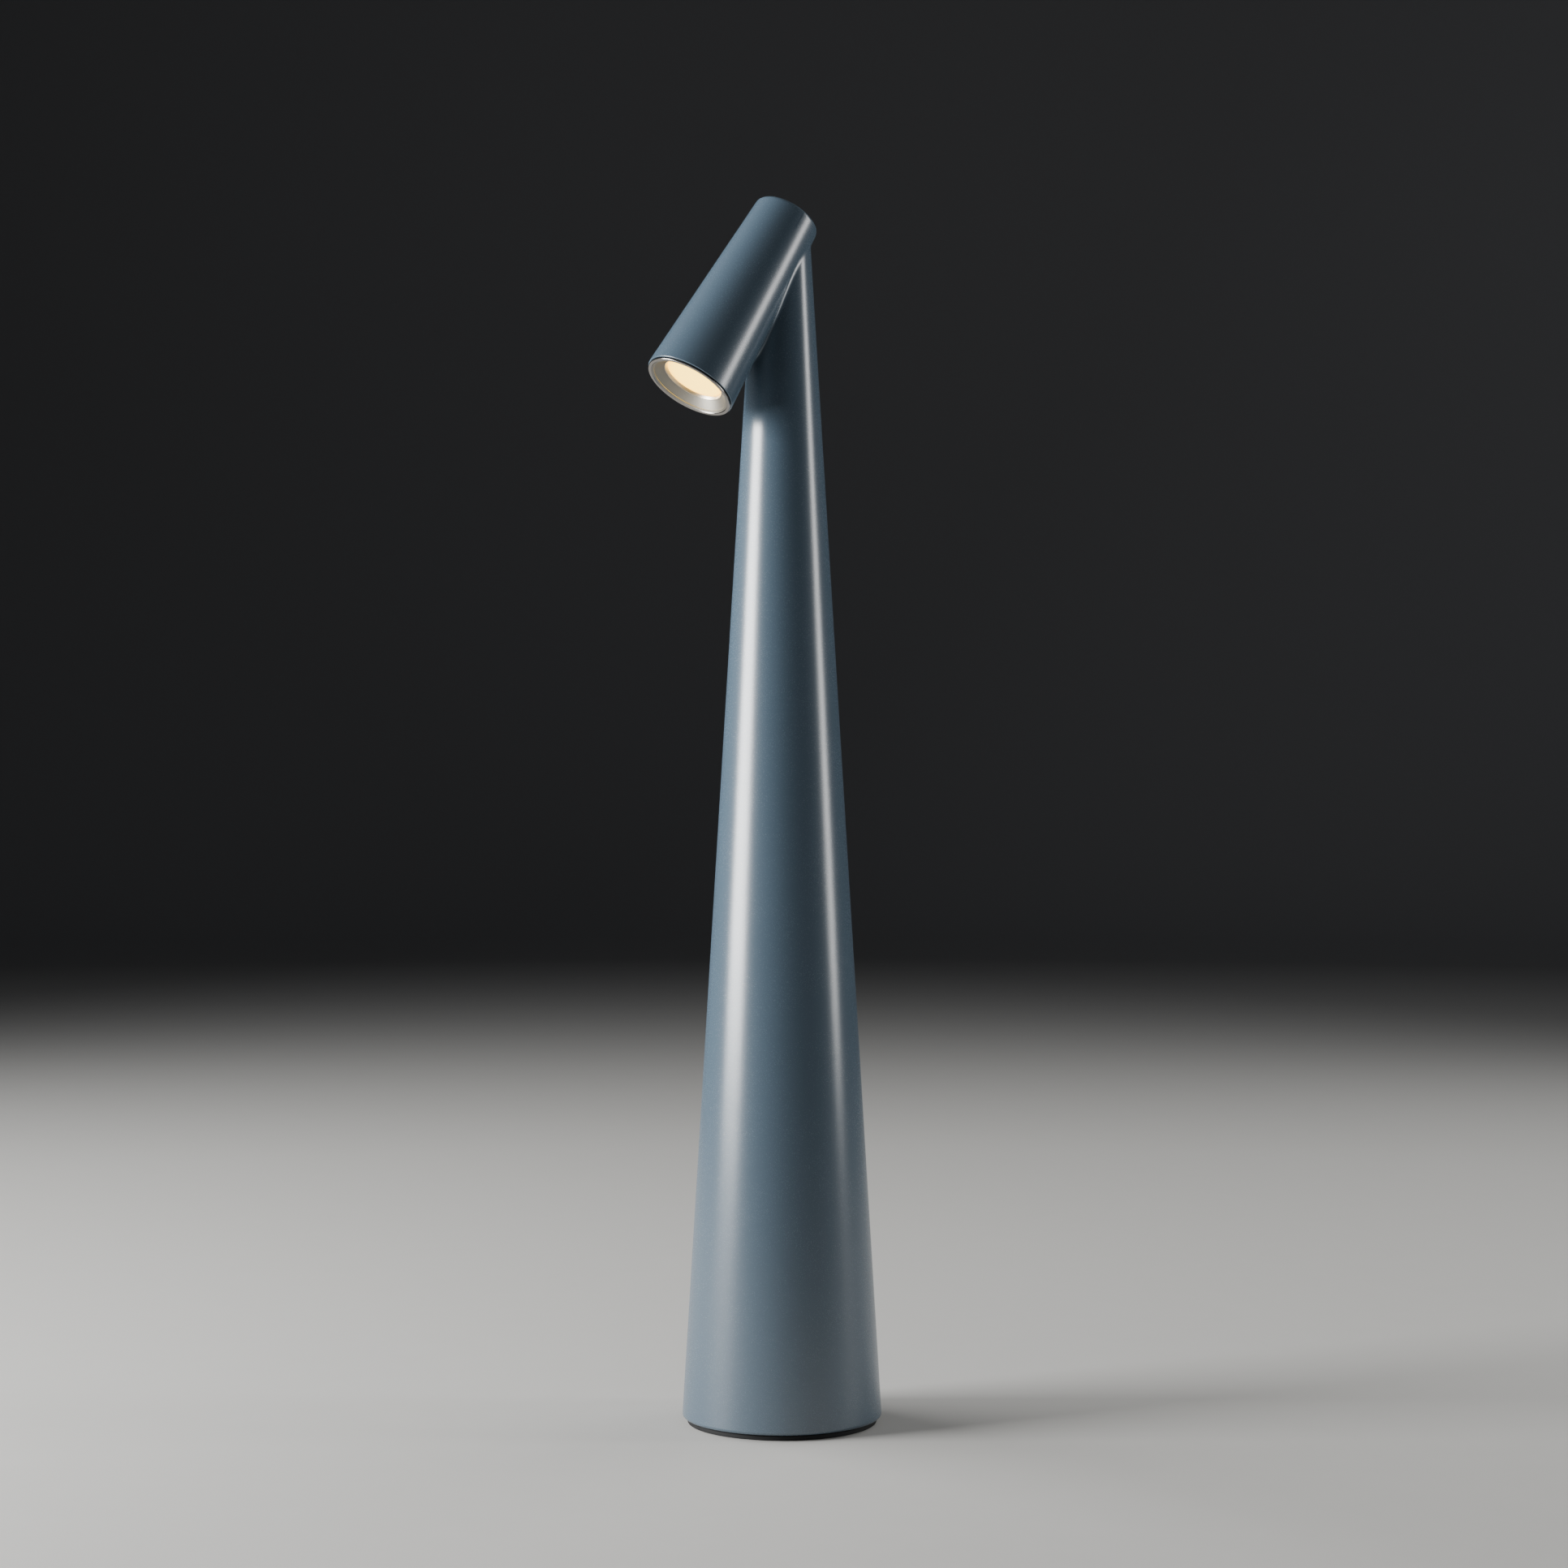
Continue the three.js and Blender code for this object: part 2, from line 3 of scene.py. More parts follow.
import bmesh
import bpy
import numpy as np
from mathutils import Matrix, Vector


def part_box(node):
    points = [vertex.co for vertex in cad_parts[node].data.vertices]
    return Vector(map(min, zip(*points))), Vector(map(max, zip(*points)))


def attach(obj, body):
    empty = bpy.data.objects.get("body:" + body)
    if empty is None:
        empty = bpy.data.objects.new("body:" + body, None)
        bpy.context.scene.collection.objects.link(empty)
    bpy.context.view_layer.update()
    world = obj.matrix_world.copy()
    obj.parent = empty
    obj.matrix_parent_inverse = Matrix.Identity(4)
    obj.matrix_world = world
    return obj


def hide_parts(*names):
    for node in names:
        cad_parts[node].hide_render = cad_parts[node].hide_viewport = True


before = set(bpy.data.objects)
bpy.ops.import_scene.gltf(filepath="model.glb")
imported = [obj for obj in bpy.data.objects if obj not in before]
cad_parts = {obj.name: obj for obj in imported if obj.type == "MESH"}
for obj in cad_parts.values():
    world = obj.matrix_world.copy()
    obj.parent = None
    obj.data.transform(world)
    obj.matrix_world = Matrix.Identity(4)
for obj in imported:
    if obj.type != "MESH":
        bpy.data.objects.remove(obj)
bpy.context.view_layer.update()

MM = 0.001

# ---- the lamp's form, as the frame has it -------------------------------------------------

SHELL_LOW, SHELL_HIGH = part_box("body_shell")
BODY_Z = SHELL_LOW.z                             # underside of the casting
BASE_RADIUS = SHELL_HIGH.x
TAPER = 0.0608                                   # radius lost for each unit of height
COLUMN_WALL = 2.6 * MM
TILT = math.radians(33.2)                        # head's axis from the vertical
CROSSING = BODY_Z + 417.7 * MM                   # where it meets the column's axis
HEAD_BACK = -4.2 * MM                            # closed end, along the axis
HEAD_FRONT = 70.4 * MM                           # mouth
HEAD_BACK_RADIUS = 11.94 * MM
HEAD_TAPER = 0.0582
HEAD_WALL = 1.9 * MM
HEAD_EDGE = 1.5 * MM                             # round of the closed end
FILLET_SIDE = 0.7 * MM                           # cast fillet under the head, growing upwards
FILLET_BACK = 3.6 * MM                           # to where the column meets the closed end

BEZEL_LIP = 14.5 * MM                            # inner edge of the bezel's rim
LENS_RADIUS = 10.35 * MM

HEAD_PLACE = Matrix.Translation((0, 0, CROSSING)) @ Matrix.Rotation(math.pi - TILT, 4, "X")


def column_radius(z):
    return BASE_RADIUS - TAPER * (z - BODY_Z)


def head_radius(t):
    return HEAD_BACK_RADIUS + HEAD_TAPER * (t - HEAD_BACK)


# ---- camera -------------------------------------------------------------------------------

VIEW_AZIMUTH = math.radians(55.2)
VIEW_DISTANCE = 1.0581
VIEW_HEIGHT = 0.2236
VIEW_SIDESTEP = 0.0007
SENSOR_WIDTH = 36                                # millimetres, as the lens is
LENS_LENGTH = 69.14


def make_camera():
    """A level camera; returns the way towards it and the way to its right."""
    data = bpy.data.cameras.new("camera")
    data.sensor_width = SENSOR_WIDTH
    data.lens = LENS_LENGTH
    data.clip_start = 0.01
    camera = bpy.data.objects.new("camera", data)
    bpy.context.scene.collection.objects.link(camera)
    back = Vector((math.sin(VIEW_AZIMUTH), -math.cos(VIEW_AZIMUTH), 0))
    right = Vector((math.cos(VIEW_AZIMUTH), math.sin(VIEW_AZIMUTH), 0))
    camera.location = back * VIEW_DISTANCE + right * VIEW_SIDESTEP
    camera.location.z = VIEW_HEIGHT
    camera.rotation_euler = (math.pi / 2, 0, VIEW_AZIMUTH)
    bpy.context.scene.camera = camera
    return back, right


TO_CAMERA, TO_RIGHT = make_camera()


# ---- shader node helpers ------------------------------------------------------------------

def new_group(name, inputs, outputs):
    """A shader node group with these sockets, given as (name, socket type, default)."""
    group = bpy.data.node_groups.new(name, "ShaderNodeTree")
    for label, kind, default in inputs:
        socket = group.interface.new_socket(label, in_out="INPUT", socket_type=kind)
        if default is not None:
            socket.default_value = default
    for label, kind in outputs:
        group.interface.new_socket(label, in_out="OUTPUT", socket_type=kind)
    return group, group.nodes.new("NodeGroupInput"), group.nodes.new("NodeGroupOutput")


def add(tree, kind, settings=None, **inputs):
    """A node with its settings and inputs; an input is a value or another node's socket."""
    node = tree.nodes.new(kind)
    for key, value in (settings or {}).items():
        setattr(node, key, value)
    for key, value in inputs.items():
        wire(tree, node, key.replace("_", " "), value)
    return node


def wire(tree, node, key, value):
    socket = node.inputs[int(key)] if key.isdigit() else node.inputs[key]
    if isinstance(value, bpy.types.NodeSocket):
        tree.links.new(value, socket)
    else:
        socket.default_value = value


def math_node(tree, operation, first, second=0.0, clamp=False):
    node = add(tree, "ShaderNodeMath", {"operation": operation, "use_clamp": clamp})
    wire(tree, node, "0", first)
    wire(tree, node, "1", second)
    return node.outputs[0]


def mix_colour(tree, amount, first, second):
    node = add(tree, "ShaderNodeMix", {"data_type": "RGBA"})
    wire(tree, node, "0", amount)
    wire(tree, node, "6", first)
    wire(tree, node, "7", second)
    return node.outputs[2]


def scaled(tree, colour, amount):
    """The colour with its channels multiplied by a value."""
    node = add(tree, "ShaderNodeVectorMath", {"operation": "SCALE"}, Scale=amount)
    wire(tree, node, "0", colour)
    return node.outputs[0]


def mix_value(tree, amount, first, second):
    node = add(tree, "ShaderNodeMix", {"data_type": "FLOAT"})
    wire(tree, node, "0", amount)
    wire(tree, node, "2", first)
    wire(tree, node, "3", second)
    return node.outputs[0]


def put_out(group, outside, **sockets):
    for key, socket in sockets.items():
        group.links.new(socket, outside.inputs[key])


def ramp(tree, value, low, high, out_low=0.0, out_high=1.0):
    """The value carried from one range to another, held at the range's ends."""
    node = add(tree, "ShaderNodeMapRange", None, Value=value)
    node.inputs["From Min"].default_value = low
    node.inputs["From Max"].default_value = high
    node.inputs["To Min"].default_value = out_low
    node.inputs["To Max"].default_value = out_high
    return node.outputs[0]


def rgb(hex_code):
    """Linear colour of a hexadecimal display colour."""
    channels = [int(hex_code[i:i + 2], 16) / 255 for i in (0, 2, 4)]
    linear = [c / 12.92 if c <= 0.04045 else ((c + 0.055) / 1.055) ** 2.4 for c in channels]
    return (*linear, 1.0)


# ---- shared surface effects ---------------------------------------------------------------

def make_grain():
    """Fine grain: a colour mottle, a roughness change and a bump from one noise."""
    cloud_scale = 0.02                           # clouds are fifty times the grain's size
    cloud_share = 0.25
    grain_depth = 0.05 * MM
    group, inside, outside = new_group(
        "fine_grain",
        [("Vector", "NodeSocketVector", None), ("Colour", "NodeSocketColor", None),
         ("Size", "NodeSocketFloat", 3000.0), ("Mottle", "NodeSocketFloat", 0.06),
         ("Roughness", "NodeSocketFloat", 0.4), ("Variation", "NodeSocketFloat", 0.05),
         ("Height", "NodeSocketFloat", 0.1)],
        [("Colour", "NodeSocketColor"), ("Roughness", "NodeSocketFloat"),
         ("Normal", "NodeSocketVector")])
    get = inside.outputs
    fine = add(group, "ShaderNodeTexNoise", None, Vector=get["Vector"], Scale=get["Size"],
               Detail=2.0, Roughness=0.6)
    cloud_size = math_node(group, "MULTIPLY", get["Size"], cloud_scale)
    cloud = add(group, "ShaderNodeTexNoise", None, Vector=get["Vector"], Scale=cloud_size,
                Detail=3.0)
    speck = math_node(group, "SUBTRACT", fine.outputs[0], 0.5)
    drift = math_node(group, "SUBTRACT", cloud.outputs[0], 0.5)
    clouds = math_node(group, "MULTIPLY", drift, cloud_share)
    both = math_node(group, "ADD", speck, clouds)
    shade = math_node(group, "ADD", math_node(group, "MULTIPLY", both, get["Mottle"]), 1.0)
    colour = scaled(group, get["Colour"], shade)
    change = math_node(group, "MULTIPLY", both, get["Variation"])
    rough = math_node(group, "ADD", get["Roughness"], change, clamp=True)
    bump = add(group, "ShaderNodeBump", None, Strength=get["Height"],
               Distance=grain_depth, Height=fine.outputs[0])
    put_out(group, outside, Colour=colour, Roughness=rough, Normal=bump.outputs[0])
    return group


def make_lathe():
    """Lathe marks about an axis: the radius at the point, and the fine turned lines."""
    group, inside, outside = new_group(
        "lathe_marks",
        [("Vector", "NodeSocketVector", None), ("Centre", "NodeSocketVector", None),
         ("Turn", "NodeSocketVector", None), ("Pitch", "NodeSocketFloat", 5000.0)],
        [("Radius", "NodeSocketFloat"), ("Lines", "NodeSocketFloat")])
    get = inside.outputs
    turned_to = add(group, "ShaderNodeMapping", {"vector_type": "TEXTURE"},
                    Vector=get["Vector"], Location=get["Centre"], Rotation=get["Turn"])
    parts = add(group, "ShaderNodeSeparateXYZ", None, Vector=turned_to.outputs[0])
    flat = add(group, "ShaderNodeCombineXYZ", None, X=parts.outputs[0], Y=parts.outputs[1])
    radius = add(group, "ShaderNodeVectorMath", {"operation": "LENGTH"})
    wire(group, radius, "0", flat.outputs[0])
    reach = radius.outputs["Value"]
    slant = math_node(group, "ADD", reach, parts.outputs[2])
    lines = add(group, "ShaderNodeTexNoise", {"noise_dimensions": "1D"}, W=slant,
                Scale=get["Pitch"], Detail=2.0, Roughness=0.7)
    put_out(group, outside, Radius=reach, Lines=lines.outputs[0])
    return group


GRAIN = make_grain()
LATHE = make_lathe()


def new_material(name, metallic=0.0):
    material = bpy.data.materials.new(name)
    material.use_nodes = True
    tree = material.node_tree
    shader = tree.nodes["Principled BSDF"]
    shader.inputs["Metallic"].default_value = metallic
    place = add(tree, "ShaderNodeTexCoord").outputs["Object"]
    return material, tree, shader, place


def grain_on(tree, shader, place, colour, roughness, size=3000.0, mottle=0.06,
             variation=0.05, height=0.1):
    """Wires the shared grain into the shader; colour and roughness are values or sockets."""
    node = add(tree, "ShaderNodeGroup", {"node_tree": GRAIN}, Vector=place, Colour=colour,
               Size=size, Mottle=mottle, Roughness=roughness, Variation=variation,
               Height=height)
    wire(tree, shader, "Base Color", node.outputs["Colour"])
    wire(tree, shader, "Roughness", node.outputs["Roughness"])
    wire(tree, shader, "Normal", node.outputs["Normal"])
    return node


def grained(name, colour, roughness, metallic=0.0, shader_values=None, **grain_values):
    """A material of one colour under the shared grain, with any other shader values."""
    material, tree, shader, place = new_material(name, metallic)
    grain_on(tree, shader, place, rgb(colour), roughness, **grain_values)
    for key, value in (shader_values or {}).items():
        shader.inputs[key].default_value = value
    return material


def lathe_on(tree, place, centre, turn, pitch):
    """The outputs of the shared lathe marks, about an axis through a centre."""
    return add(tree, "ShaderNodeGroup", {"node_tree": LATHE}, Vector=place, Centre=centre,
               Turn=turn, Pitch=pitch).outputs


HEAD_CENTRE = HEAD_PLACE.translation
HEAD_TURN = tuple(HEAD_PLACE.to_euler())
ACROSS = (-math.pi / 2, 0, 0)                    # turns the lathe's axis to +Y


# ---- materials ----------------------------------------------------------------------------

def shell_paint():
    """Satin blue-grey paint with a fine grain."""
    return grained("shell_paint", "4b5c6a", 0.26, shader_values={"IOR": 1.9}, size=3200.0,
                   mottle=0.22, variation=0.1, height=0.25)


def foot_rubber():
    return grained("foot_rubber", "141517", 0.72, size=1500.0, mottle=0.3, height=0.6)


def seal_rubber():
    return grained("seal_rubber", "0c0c0d", 0.8, size=4000.0, mottle=0.2, height=0.3)


def bezel_aluminium():
    """Satin conical face with fine turning lines, inside a smoother rim; both tones carry a
    painted reflection.
    """
    material, tree, shader, place = new_material("bezel_aluminium", 1.0)
    marks = lathe_on(tree, place, HEAD_CENTRE, HEAD_TURN, 6000.0)
    rim = ramp(tree, marks["Radius"], BEZEL_LIP - 0.1 * MM, BEZEL_LIP + 0.05 * MM)
    satin = ramp(tree, marks["Lines"], 0.3, 0.7, 0.41, 0.51)
    rough = mix_value(tree, rim, satin, 0.2)
    # Cone and rim tones are set darker and warmer than bare aluminium: painted reflection of
    # dim, warm surroundings.
    tone = mix_colour(tree, marks["Lines"], rgb("85827a"), rgb("a8a49a"))
    tone = mix_colour(tree, rim, tone, rgb("9c9893"))
    grain_on(tree, shader, place, tone, rough, size=5000.0, mottle=0.05, variation=0.04,
             height=0.08)
    return material


def ring_aluminium():
    material, tree, shader, place = new_material("ring_aluminium", 1.0)
    marks = lathe_on(tree, place, HEAD_CENTRE, HEAD_TURN, 9000.0)
    tone = mix_colour(tree, marks["Lines"], rgb("d8cfc0"), rgb("ece6da"))
    grain_on(tree, shader, place, tone, 0.38, size=6000.0, mottle=0.05, variation=0.06,
             height=0.08)
    return material


def opal_glow():
    """Opal plastic lit from behind, even, with a fine grain and a slightly deeper edge."""
    material, tree, shader, place = new_material("opal_lens")
    marks = lathe_on(tree, place, HEAD_CENTRE, HEAD_TURN, 3000.0)
    edge = ramp(tree, marks["Radius"], 0.8 * LENS_RADIUS, LENS_RADIUS)
    grain = add(tree, "ShaderNodeTexNoise", None, Vector=place, Scale=3500.0, Detail=2.0)
    specks = ramp(tree, grain.outputs[0], 0.3, 0.7, 0.0, 0.2)
    glow = mix_colour(tree, edge, rgb("ffd044"), rgb("ffc234"))
    glow = mix_colour(tree, specks, glow, rgb("f0b048"))
    wire(tree, shader, "Emission Color", glow)
    shader.inputs["Emission Strength"].default_value = 5.6
    shader.inputs["Base Color"].default_value = rgb("a8946c")
    shader.inputs["Roughness"].default_value = 0.45
    return material


def button_aluminium():
    material, tree, shader, place = new_material("button_aluminium", 1.0)
    marks = lathe_on(tree, place, (0, 0, BUTTON_Z), ACROSS, 7000.0)
    rough = ramp(tree, marks["Lines"], 0.3, 0.7, 0.24, 0.36)
    tone = mix_colour(tree, marks["Lines"], rgb("b4b3b0"), rgb("d6d5d2"))
    grain_on(tree, shader, place, tone, rough, size=6000.0, mottle=0.04, variation=0.03,
             height=0.06)
    return material


def port_plastic():
    return grained("port_plastic", "1b1d1f", 0.5, size=5000.0, mottle=0.15, height=0.3)


def port_steel():
    return grained("port_steel", "a9abad", 0.28, 1.0, size=4000.0, mottle=0.08,
                   variation=0.12, height=0.08)


def contact_gold():
    return grained("contact_gold", "e2b65a", 0.25, 1.0, size=6000.0, mottle=0.08)


def clear_pipe():
    """Clear plastic rod, faintly frosted at its end."""
    material, tree, shader, place = new_material("light_pipe")
    frost = add(tree, "ShaderNodeTexNoise", None, Vector=place, Scale=6000.0)
    wire(tree, shader, "Roughness", ramp(tree, frost.outputs[0], 0.3, 0.7, 0.18, 0.4))
    shader.inputs["Base Color"].default_value = rgb("f1f4f5")
    shader.inputs["Transmission Weight"].default_value = 0.85
    shader.inputs["IOR"].default_value = 1.49
    return material


def plain_steel():
    """Zinc-plated steel: soft crystalline patches and a light drift of tone."""
    material, tree, shader, place = new_material("plain_steel", 1.0)
    patches = add(tree, "ShaderNodeTexVoronoi", None, Vector=place, Scale=450.0)
    tone = mix_colour(tree, ramp(tree, patches.outputs[0], 0.0, 0.9), rgb("9b9da0"),
                      rgb("b6b8ba"))
    grain_on(tree, shader, place, tone, 0.36, size=2200.0, mottle=0.1, variation=0.14,
             height=0.12)
    return material


def cradle_plastic():
    return grained("cradle_plastic", "232527", 0.55, size=1800.0, mottle=0.2, height=0.55)


def cell_wrap():
    """Shrink wrap round each cell, with the bare steel cap above it."""
    material, tree, shader, place = new_material("cell_wrap")
    height = add(tree, "ShaderNodeSeparateXYZ", None, Vector=place).outputs[2]
    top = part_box("battery_cell_1")[1].z
    bare = ramp(tree, height, top - 1.3 * MM, top - 1.2 * MM)
    creases = add(tree, "ShaderNodeTexNoise", None, Vector=place, Scale=500.0, Detail=4.0)
    film = mix_colour(tree, creases.outputs[0], rgb("2f6e9c"), rgb("3f82b3"))
    tone = mix_colour(tree, bare, film, rgb("b4b5b6"))
    grain_on(tree, shader, place, tone, mix_value(tree, bare, 0.32, 0.25), size=1400.0,
             mottle=0.1, height=0.25)
    wire(tree, shader, "Metallic", bare)
    return material


def circuit_board():
    """Green solder mask over copper tracks, with tinned pads."""
    material, tree, shader, place = new_material("circuit_board")
    turn = add(tree, "ShaderNodeMapping", None, Vector=place)
    turn.inputs["Rotation"].default_value = (math.pi / 2, 0, 0)
    tracks = add(tree, "ShaderNodeTexBrick", {"offset": 0.37, "squash": 0.6},
                 Vector=turn.outputs[0], Scale=260.0, Color1=(0, 0, 0, 1),
                 Color2=(0.12, 0.12, 0.12, 1), Mortar=(1, 1, 1, 1))
    tracks.inputs["Mortar Size"].default_value = 0.035
    dots = add(tree, "ShaderNodeTexVoronoi", None, Vector=turn.outputs[0], Scale=420.0)
    pad = ramp(tree, dots.outputs[0], 0.17, 0.15)
    mask = mix_colour(tree, tracks.outputs[0], rgb("174a30"), rgb("2a6a45"))
    tone = mix_colour(tree, pad, mask, rgb("c2c0b6"))
    grain_on(tree, shader, place, tone, mix_value(tree, pad, 0.4, 0.3), size=3000.0,
             mottle=0.1, height=0.1)
    wire(tree, shader, "Metallic", pad)
    return material


def component_black():
    return grained("component_black", "18191b", 0.6, size=4500.0, mottle=0.25, height=0.5)


def white_plastic():
    return grained("white_plastic", "e9e6de", 0.42, size=2500.0, mottle=0.06, height=0.2)


def lead_jacket():
    return grained("lead_jacket", "b5b1a8", 0.5, size=1600.0, mottle=0.12, height=0.4)


def sink_aluminium():
    """Turned heat sink: lathe lines about the head's axis."""
    material, tree, shader, place = new_material("sink_aluminium", 1.0)
    marks = lathe_on(tree, place, HEAD_CENTRE, HEAD_TURN, 4000.0)
    tone = mix_colour(tree, marks["Lines"], rgb("a9aaab"), rgb("cfd0d0"))
    grain_on(tree, shader, place, tone, ramp(tree, marks["Lines"], 0.3, 0.7, 0.3, 0.45),
             size=2500.0, mottle=0.06, height=0.1)
    return material


def phosphor():
    """Yellow phosphor gel of the emitter, cloudy, faintly dimpled."""
    return grained("phosphor", "e9bd3f", 0.35, size=1800.0, mottle=0.25, height=0.4)


# ---- mesh helpers -------------------------------------------------------------------------

ARC_PARTS = 6


def finished(name, bm, material, smooth_angle=30.0):
    """The piece made from a bmesh: smooth, with edges sharper than the angle kept."""
    mesh = bpy.data.meshes.new(name)
    bm.to_mesh(mesh)
    bm.free()
    piece = bpy.data.objects.new(name, mesh)
    bpy.context.scene.collection.objects.link(piece)
    if material:
        mesh.materials.append(material)
    mesh.shade_smooth()
    mesh.set_sharp_from_angle(angle=math.radians(smooth_angle))
    return piece


def rounded(corners, parts=ARC_PARTS):
    """Outline through (x, y, radius) corners, each turned by an arc of its radius."""
    points = []
    count = len(corners)
    for i, (x, y, radius) in enumerate(corners):
        corner = Vector((x, y))
        if not radius:
            points.append(corner)
            continue
        before = Vector(corners[i - 1][:2]) - corner
        after = Vector(corners[(i + 1) % count][:2]) - corner
        half = before.angle(after) / 2
        reach = radius / math.tan(half)
        start = corner + before.normalized() * reach
        end = corner + after.normalized() * reach
        centre = corner + (before.normalized() + after.normalized()).normalized() * (
            radius / math.sin(half))
        for k in range(parts + 1):
            way = (start - centre).lerp(end - centre, k / parts)
            sweep = (start - centre).slerp(end - centre, k / parts, way)
            points.append(centre + sweep.normalized() * radius)
    return [(p.x, p.y) for p in points]


def spun(profile, sides, closed=False):
    """A bmesh turned about Z from (radius, height) points in metres."""
    bm = bmesh.new()
    verts = [bm.verts.new((r, 0, h)) for r, h in profile]
    pairs = list(zip(verts, verts[1:]))
    if closed:
        pairs.append((verts[-1], verts[0]))
    edges = [bm.edges.new(pair) for pair in pairs]
    bmesh.ops.spin(bm, geom=verts + edges, axis=(0, 0, 1), cent=(0, 0, 0),
                   angle=2 * math.pi, steps=sides, use_merge=True)
    bmesh.ops.remove_doubles(bm, verts=bm.verts, dist=1e-7)
    bmesh.ops.recalc_face_normals(bm, faces=bm.faces)
    return bm


def turned(name, profile, sides, material=None, closed=False, place=None):
    bm = spun(profile, sides, closed)
    if place is not None:
        bmesh.ops.transform(bm, matrix=place, verts=bm.verts)
    return finished(name, bm, material)


def combine(piece, tool, operation):
    """Joins the tool to the piece, or cuts it out, and removes the tool."""
    change = piece.modifiers.new("combine", "BOOLEAN")
    change.object = tool
    change.operation = operation
    change.solver = "EXACT"
    bake(piece)
    bpy.data.objects.remove(tool)
    return piece


def bake(piece):
    """Turns the piece's modifiers into plain mesh."""
    bpy.context.view_layer.update()
    graph = bpy.context.evaluated_depsgraph_get()
    mesh = bpy.data.meshes.new_from_object(piece.evaluated_get(graph))
    piece.modifiers.clear()
    piece.data = mesh


def rod(radius, low, high, sides=48, place=None):
    """A plain round tool or pin along Z."""
    bm = spun([(0, low), (radius, low), (radius, high), (0, high)], sides)
    if place is not None:
        bmesh.ops.transform(bm, matrix=place, verts=bm.verts)
    return finished("rod", bm, None)


ALONG_Y = Matrix.Rotation(-math.pi / 2, 4, "X")


def at(x=0.0, y=0.0, z=0.0):
    return Matrix.Translation((x, y, z))


# ---- the blended form ---------------------------------------------------------------------

HEAD_INVERSE = np.array(HEAD_PLACE.inverted())
HEAD_TO_WORLD = np.array(HEAD_PLACE)[:3, :3]
FILLET_RISE = (BODY_Z + 376 * MM, BODY_Z + 409 * MM)     # where the fillet grows
COLUMN_STOPS = ((2 * MM, 1, 1), (-1 * MM, 2, -1))        # planes in the head: place, axis, side


def into_head(points):
    """The points in the head's own frame, its axis along Z."""
    return points @ HEAD_INVERSE[:3, :3].T + HEAD_INVERSE[:3, 3]


def column_field(points, local):
    """Distance outside the column, which ends inside the head, and its outward direction."""
    x, y, z = points.T
    slope = 1 / math.hypot(1, TAPER)
    reach = np.hypot(x, y)
    field = (reach - column_radius(z)) * slope
    safe = np.maximum(reach, 1e-9)
    out = np.stack([x / safe * slope, y / safe * slope, np.full_like(x, TAPER * slope)], 1)
    for stop, axis, sign in COLUMN_STOPS:
        limit = stop + sign * local[:, axis]
        beyond = limit > field
        field = np.where(beyond, limit, field)
        out[beyond] = HEAD_TO_WORLD[:, axis] * sign
    return field, out


def head_field(local):
    """Distance outside the head, with its rounded closed end, and its outward direction."""
    u, v, t = local.T
    slope = 1 / math.hypot(1, HEAD_TAPER)
    reach = np.maximum(np.hypot(u, v), 1e-9)
    side = (reach - head_radius(t)) * slope + HEAD_EDGE
    end = HEAD_BACK - t + HEAD_EDGE
    round_side = np.maximum(side, 0)
    round_end = np.maximum(end, 0)
    corner = np.hypot(round_side, round_end)
    field = np.minimum(np.maximum(side, end), 0) + corner - HEAD_EDGE
    on_side = np.where(corner > 0, round_side / np.maximum(corner, 1e-12), side > end)
    on_end = np.where(corner > 0, round_end / np.maximum(corner, 1e-12), side <= end)
    local_out = np.stack([u / reach * slope * on_side, v / reach * slope * on_side,
                          -HEAD_TAPER * slope * on_side - on_end], 1)
    return field, local_out @ HEAD_TO_WORLD.T


def form(points):
    """Distance outside the whole casting and its outward direction, fillet included."""
    local = into_head(points)
    column, column_out = column_field(points, local)
    head, head_out = head_field(local)
    rise = np.clip((points[:, 2] - FILLET_RISE[0]) / (FILLET_RISE[1] - FILLET_RISE[0]), 0, 1)
    rise = rise * rise * (3 - 2 * rise)
    radius = FILLET_SIDE + (FILLET_BACK - FILLET_SIDE) * rise
    cosine = (column_out * head_out).sum(1)
    spread = np.maximum(1 - cosine ** 2, 1e-4)
    from_column = radius - column
    from_head = radius - head
    along_column = (from_column - from_head * cosine) / spread
    along_head = (from_head - from_column * cosine) / spread
    touching = (along_column > 0) & (along_head > 0)
    square = from_column ** 2 + from_head ** 2 - 2 * from_column * from_head * cosine
    ball = radius - np.sqrt(np.maximum(square, 0) / spread)
    distance = np.where(touching, ball, np.minimum(column, head))
    out = np.where((column < head)[:, None], column_out, head_out)
    rolled = column_out * along_column[:, None] + head_out * along_head[:, None]
    out = np.where(touching[:, None], rolled, out)
    return distance, out / np.maximum(np.linalg.norm(out, axis=1, keepdims=True), 1e-12)


def positions(mesh):
    points = np.empty(len(mesh.vertices) * 3)
    mesh.vertices.foreach_get("co", points)
    return points.reshape(-1, 3)


def seam_closeness(points):
    """How far each point is from the seam: the larger of its distances to the two bodies."""
    local = into_head(points)
    column = np.abs(column_field(points, local)[0])
    return np.maximum(column, np.abs(head_field(local)[0]))


def in_steady_order(mesh):
    """Orders a mesh by its places, because a boolean leaves it in any order."""
    bm = bmesh.new()
    bm.from_mesh(mesh)
    for i, vert in enumerate(sorted(bm.verts, key=lambda vert: tuple(vert.co))):
        vert.index = i
    bm.verts.sort()
    for parts in (bm.edges, bm.faces):
        steady = sorted(parts, key=lambda part: sorted(vert.index for vert in part.verts))
        for i, part in enumerate(steady):
            part.index = i
        parts.sort()
    bm.to_mesh(mesh)
    bm.free()


